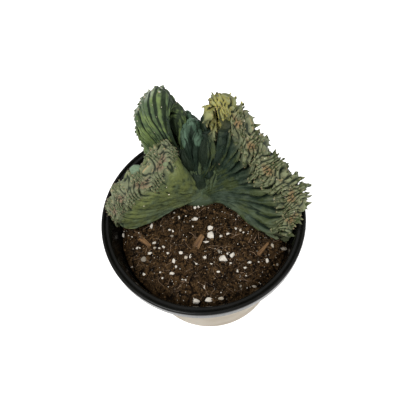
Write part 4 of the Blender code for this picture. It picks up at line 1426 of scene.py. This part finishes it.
def skin_material(name, face, blotch, crown_colour, felt_colour=FELT):
    shade = Shade(name, face, IOR=1.2)
    rise, crown, tip, felt, knob, streak, low = (shade.stored(key) for key in SKIN_NUMBERS)
    broad, middling, fine = shade.noise(8, 3), shade.noise(2.4, 3, 0.6), shade.noise(0.5, 2)
    shade.paint(blotch, shade.math("ADD", shade.product(streak, 0.22), broad), 0.42, 0.64)
    shade.paint(DEEP_SKIN, middling, 0.50, 0.75, 0.5)
    shade.cover(BASE_SKIN, shade.product(low, 0.40))
    shade.cover(crown_colour, shade.product(crown, shade.steps(low, 0.0, 1.0, 0.85, 0.40)))
    shade.cover(KNOB_SKIN, shade.product(knob, 0.95))
    shade.cover(HAZE, shade.product(shade.steps(shade.noise(6, 3), 0.42, 0.66, 0.0, 0.50), low))
    shade.paint(BLOOM, shade.product(fine, middling), 0.24, 0.42, 0.16)
    # Painted highlight: the ridge tops on the crown are lightened as if lit
    lit = shade.product(shade.steps(rise, 0.62, 0.95), shade.steps(crown, 0.0, 0.8, 0.05, 0.5))
    shade.cover(PAINTED_RIDGE_HIGHLIGHT, lit)
    shade.paint(TIP_SKIN, tip, 0.1, 0.75, 0.8)
    shade.paint(felt_colour, felt, 0.05, 0.9, 0.8)
    # Painted shade: where rise is low, in furrows and hollows, the skin is darkened as if shaded. The next
    # line lays small dark dots.
    shade.paint(FURROW_SHADE_AND_DOTS, rise, 0.52, 0.12, 0.9)
    shade.paint(FURROW_SHADE_AND_DOTS, shade.spots(2.9), 0.13, 0.07, 0.6)
    shade.to_shader("Roughness", shade.steps(middling, 0.3, 0.7, 0.45, 0.65))
    return shade.finished(shade.bump(fine, 0.1, 0.7, under=shade.bump(middling, 0.3, 0.6)))


def tooth_material(name, flesh, low):
    shade = Shade(name, low, Roughness=0.6, IOR=1.2)
    tone, middling = shade.stored("tone"), shade.noise(2.4, 3, 0.6)
    shade.paint(flesh, tone, 0.0, 0.35)
    shade.paint(low, shade.noise(5, 2), 0.45, 0.65, 0.8)
    shade.cover(KNOB_SKIN, shade.stored("knob"))
    shade.paint(TIP_SKIN, tone, 0.35, 0.9, 0.8)
    shade.paint(DEEP_SKIN, middling, 0.5, 0.75, 0.5)
    return shade.finished(shade.bump(shade.noise(0.5, 2), 0.1, 0.7))


def spine_material():
    shade = Shade("spines", SPINE_DARK, Roughness=0.6, Specular_IOR_Level=0.3)
    shade.cover(SPINE_TAN, shade.stored("tone"))
    return shade.finished()


def tuft_material():
    shade = Shade("areole_wool", WOOL_DARK, Roughness=0.9, Specular_IOR_Level=0.2)
    shade.cover(WOOL_PALE, shade.stored("tone"))
    return shade.finished(shade.bump(shade.noise(0.3, 2), 0.1, 0.8))


def soil_material():
    shade = Shade("peat", PEAT_DARK, Roughness=0.95, IOR=1.15)
    fine = shade.noise(0.5, 3, 0.75)
    shade.paint(PEAT_BROWN, shade.noise(6, 3), 0.35, 0.65)
    shade.paint(PEAT_BLACK_AND_SHADE, shade.noise(1.7, 3, 0.7), 0.50, 0.62, 0.85)
    shade.paint(PEAT_LIGHT, fine, 0.53, 0.66, 0.85)
    # Painted shade: the low spots between the clods are darkened as if shaded
    shade.paint(PEAT_BLACK_AND_SHADE, shade.stored("rise"), 0.50, 0.10, 0.95)
    return shade.finished(shade.bump(fine, 0.35, 0.9))


def crumb_material():
    shade = Shade("peat_crumbs", PEAT_BLACK_AND_SHADE, Roughness=0.92, IOR=1.15)
    tone = shade.stored("tone")
    shade.paint(PEAT_BROWN, tone, 0.0, 0.8)
    shade.paint(PEAT_LIGHT, tone, 0.82, 1.0, 0.75)
    shade.paint(PEAT_DARK, shade.noise(0.7, 2), 0.4, 0.7, 0.6)
    return shade.finished(shade.bump(shade.noise(0.3, 2), 0.15, 0.8))


def fibre_material():
    shade = Shade("peat_fibres", PEAT_DARK, Roughness=0.85, Specular_IOR_Level=0.25)
    shade.paint(FIBRE, shade.stored("tone"), 0.1, 0.95)
    shade.paint(PEAT_BROWN, shade.noise(1.5, 2), 0.45, 0.7, 0.5)
    return shade.finished()


def perlite_material():
    shade = Shade("perlite", PERLITE_WHITE, Roughness=0.9, Specular_IOR_Level=0.3)
    tone = shade.stored("tone")
    shade.paint(PERLITE_CREAM, tone, 0.0, 0.5)
    shade.paint(PERLITE_GREY, tone, 0.5, 1.0)
    shade.paint(PERLITE_CREAM, shade.noise(0.7, 3, 0.6), 0.52, 0.75, 0.5)
    shade.paint(PERLITE_GREY, shade.noise(2.2, 2), 0.5, 0.75, 0.35)
    return shade.finished(shade.bump(shade.spots(0.45), 0.2, 0.6))


def bark_material():
    shade = Shade("bark_wood", BARK_DARK, Roughness=0.8, Specular_IOR_Level=0.25)
    fine = shade.noise(0.8, 3, 0.6)
    shade.paint(BARK_LIGHT, shade.stored("grain"), -0.7, 0.7)
    shade.paint(BARK_RED, fine, 0.45, 0.7, 0.6)
    return shade.finished(shade.bump(fine, 0.25, 0.8))


def black_plastic_material():
    shade = Shade("black_plastic", BLACK_PLASTIC, IOR=1.22)
    broad, fine = shade.noise(14, 3), shade.noise(0.9, 3, 0.65)
    shade.paint(BLACK_WORN, broad, 0.35, 0.7)
    shade.paint(PEAT_LIGHT, shade.spots(1.9), 0.07, 0.03, 0.35)
    shade.to_shader("Roughness", shade.steps(shade.product(broad, fine), 0.15, 0.4, 0.16, 0.30))
    return shade.finished(shade.bump(fine, 0.03, 0.5))


def cover_material():
    shade = Shade("warm_white_plastic", COVER_WHITE, IOR=1.2)
    broad = shade.noise(22, 3)
    shade.paint(COVER_SHADE, broad, 0.3, 0.7)
    shade.to_shader("Roughness", shade.steps(broad, 0.3, 0.7, 0.45, 0.56))
    return shade.finished(shade.bump(shade.noise(0.6, 2, 0.6), 0.03, 0.5))


# Light, floor and the whole scene


def make_floor():
    work = bmesh.new()
    bmesh.ops.create_grid(work, x_segments=8, y_segments=8, size=FLOOR_HALF_WIDTH)
    mesh = bpy.data.meshes.new("floor")
    work.to_mesh(mesh)
    work.free()
    shade = Shade("floor_white", FLOOR_WHITE, Roughness=0.9, Specular_IOR_Level=0.1)
    shade.to_shader("Emission Color", WHITE)
    shade.to_shader("Emission Strength", FLOOR_GLOW)
    mesh.materials.append(shade.finished())
    floor = new_object("floor", mesh)


def soft_light(name, place, aim, size, power):
    data = bpy.data.lights.new(name, "AREA")
    data.shape = "DISK"
    data.size = size
    data.energy = power
    light = new_object(name, data)
    light.location = place
    light.rotation_euler = (Vector(aim) - Vector(place)).to_track_quat("-Z", "Y").to_euler()


def make_lights():
    world = bpy.data.worlds.new("studio")
    world.use_nodes = True
    background = next(node for node in world.node_tree.nodes if node.type == "BACKGROUND")
    background.inputs["Color"].default_value = (*WHITE, 1.0)
    background.inputs["Strength"].default_value = SKY_STRENGTH
    bpy.context.scene.world = world
    for light in LIGHTS:
        soft_light(*light)


bpy.context.scene.view_settings.view_transform = "Standard"
make_camera()
make_lights()
make_floor()
make_cover_pot(cover_material())
make_grow_pot(black_plastic_material())
make_soil(soil_material())
make_crumbs(crumb_material())
make_fibres(fibre_material())
make_perlite(perlite_material())
make_bark(bark_material())
make_plant()
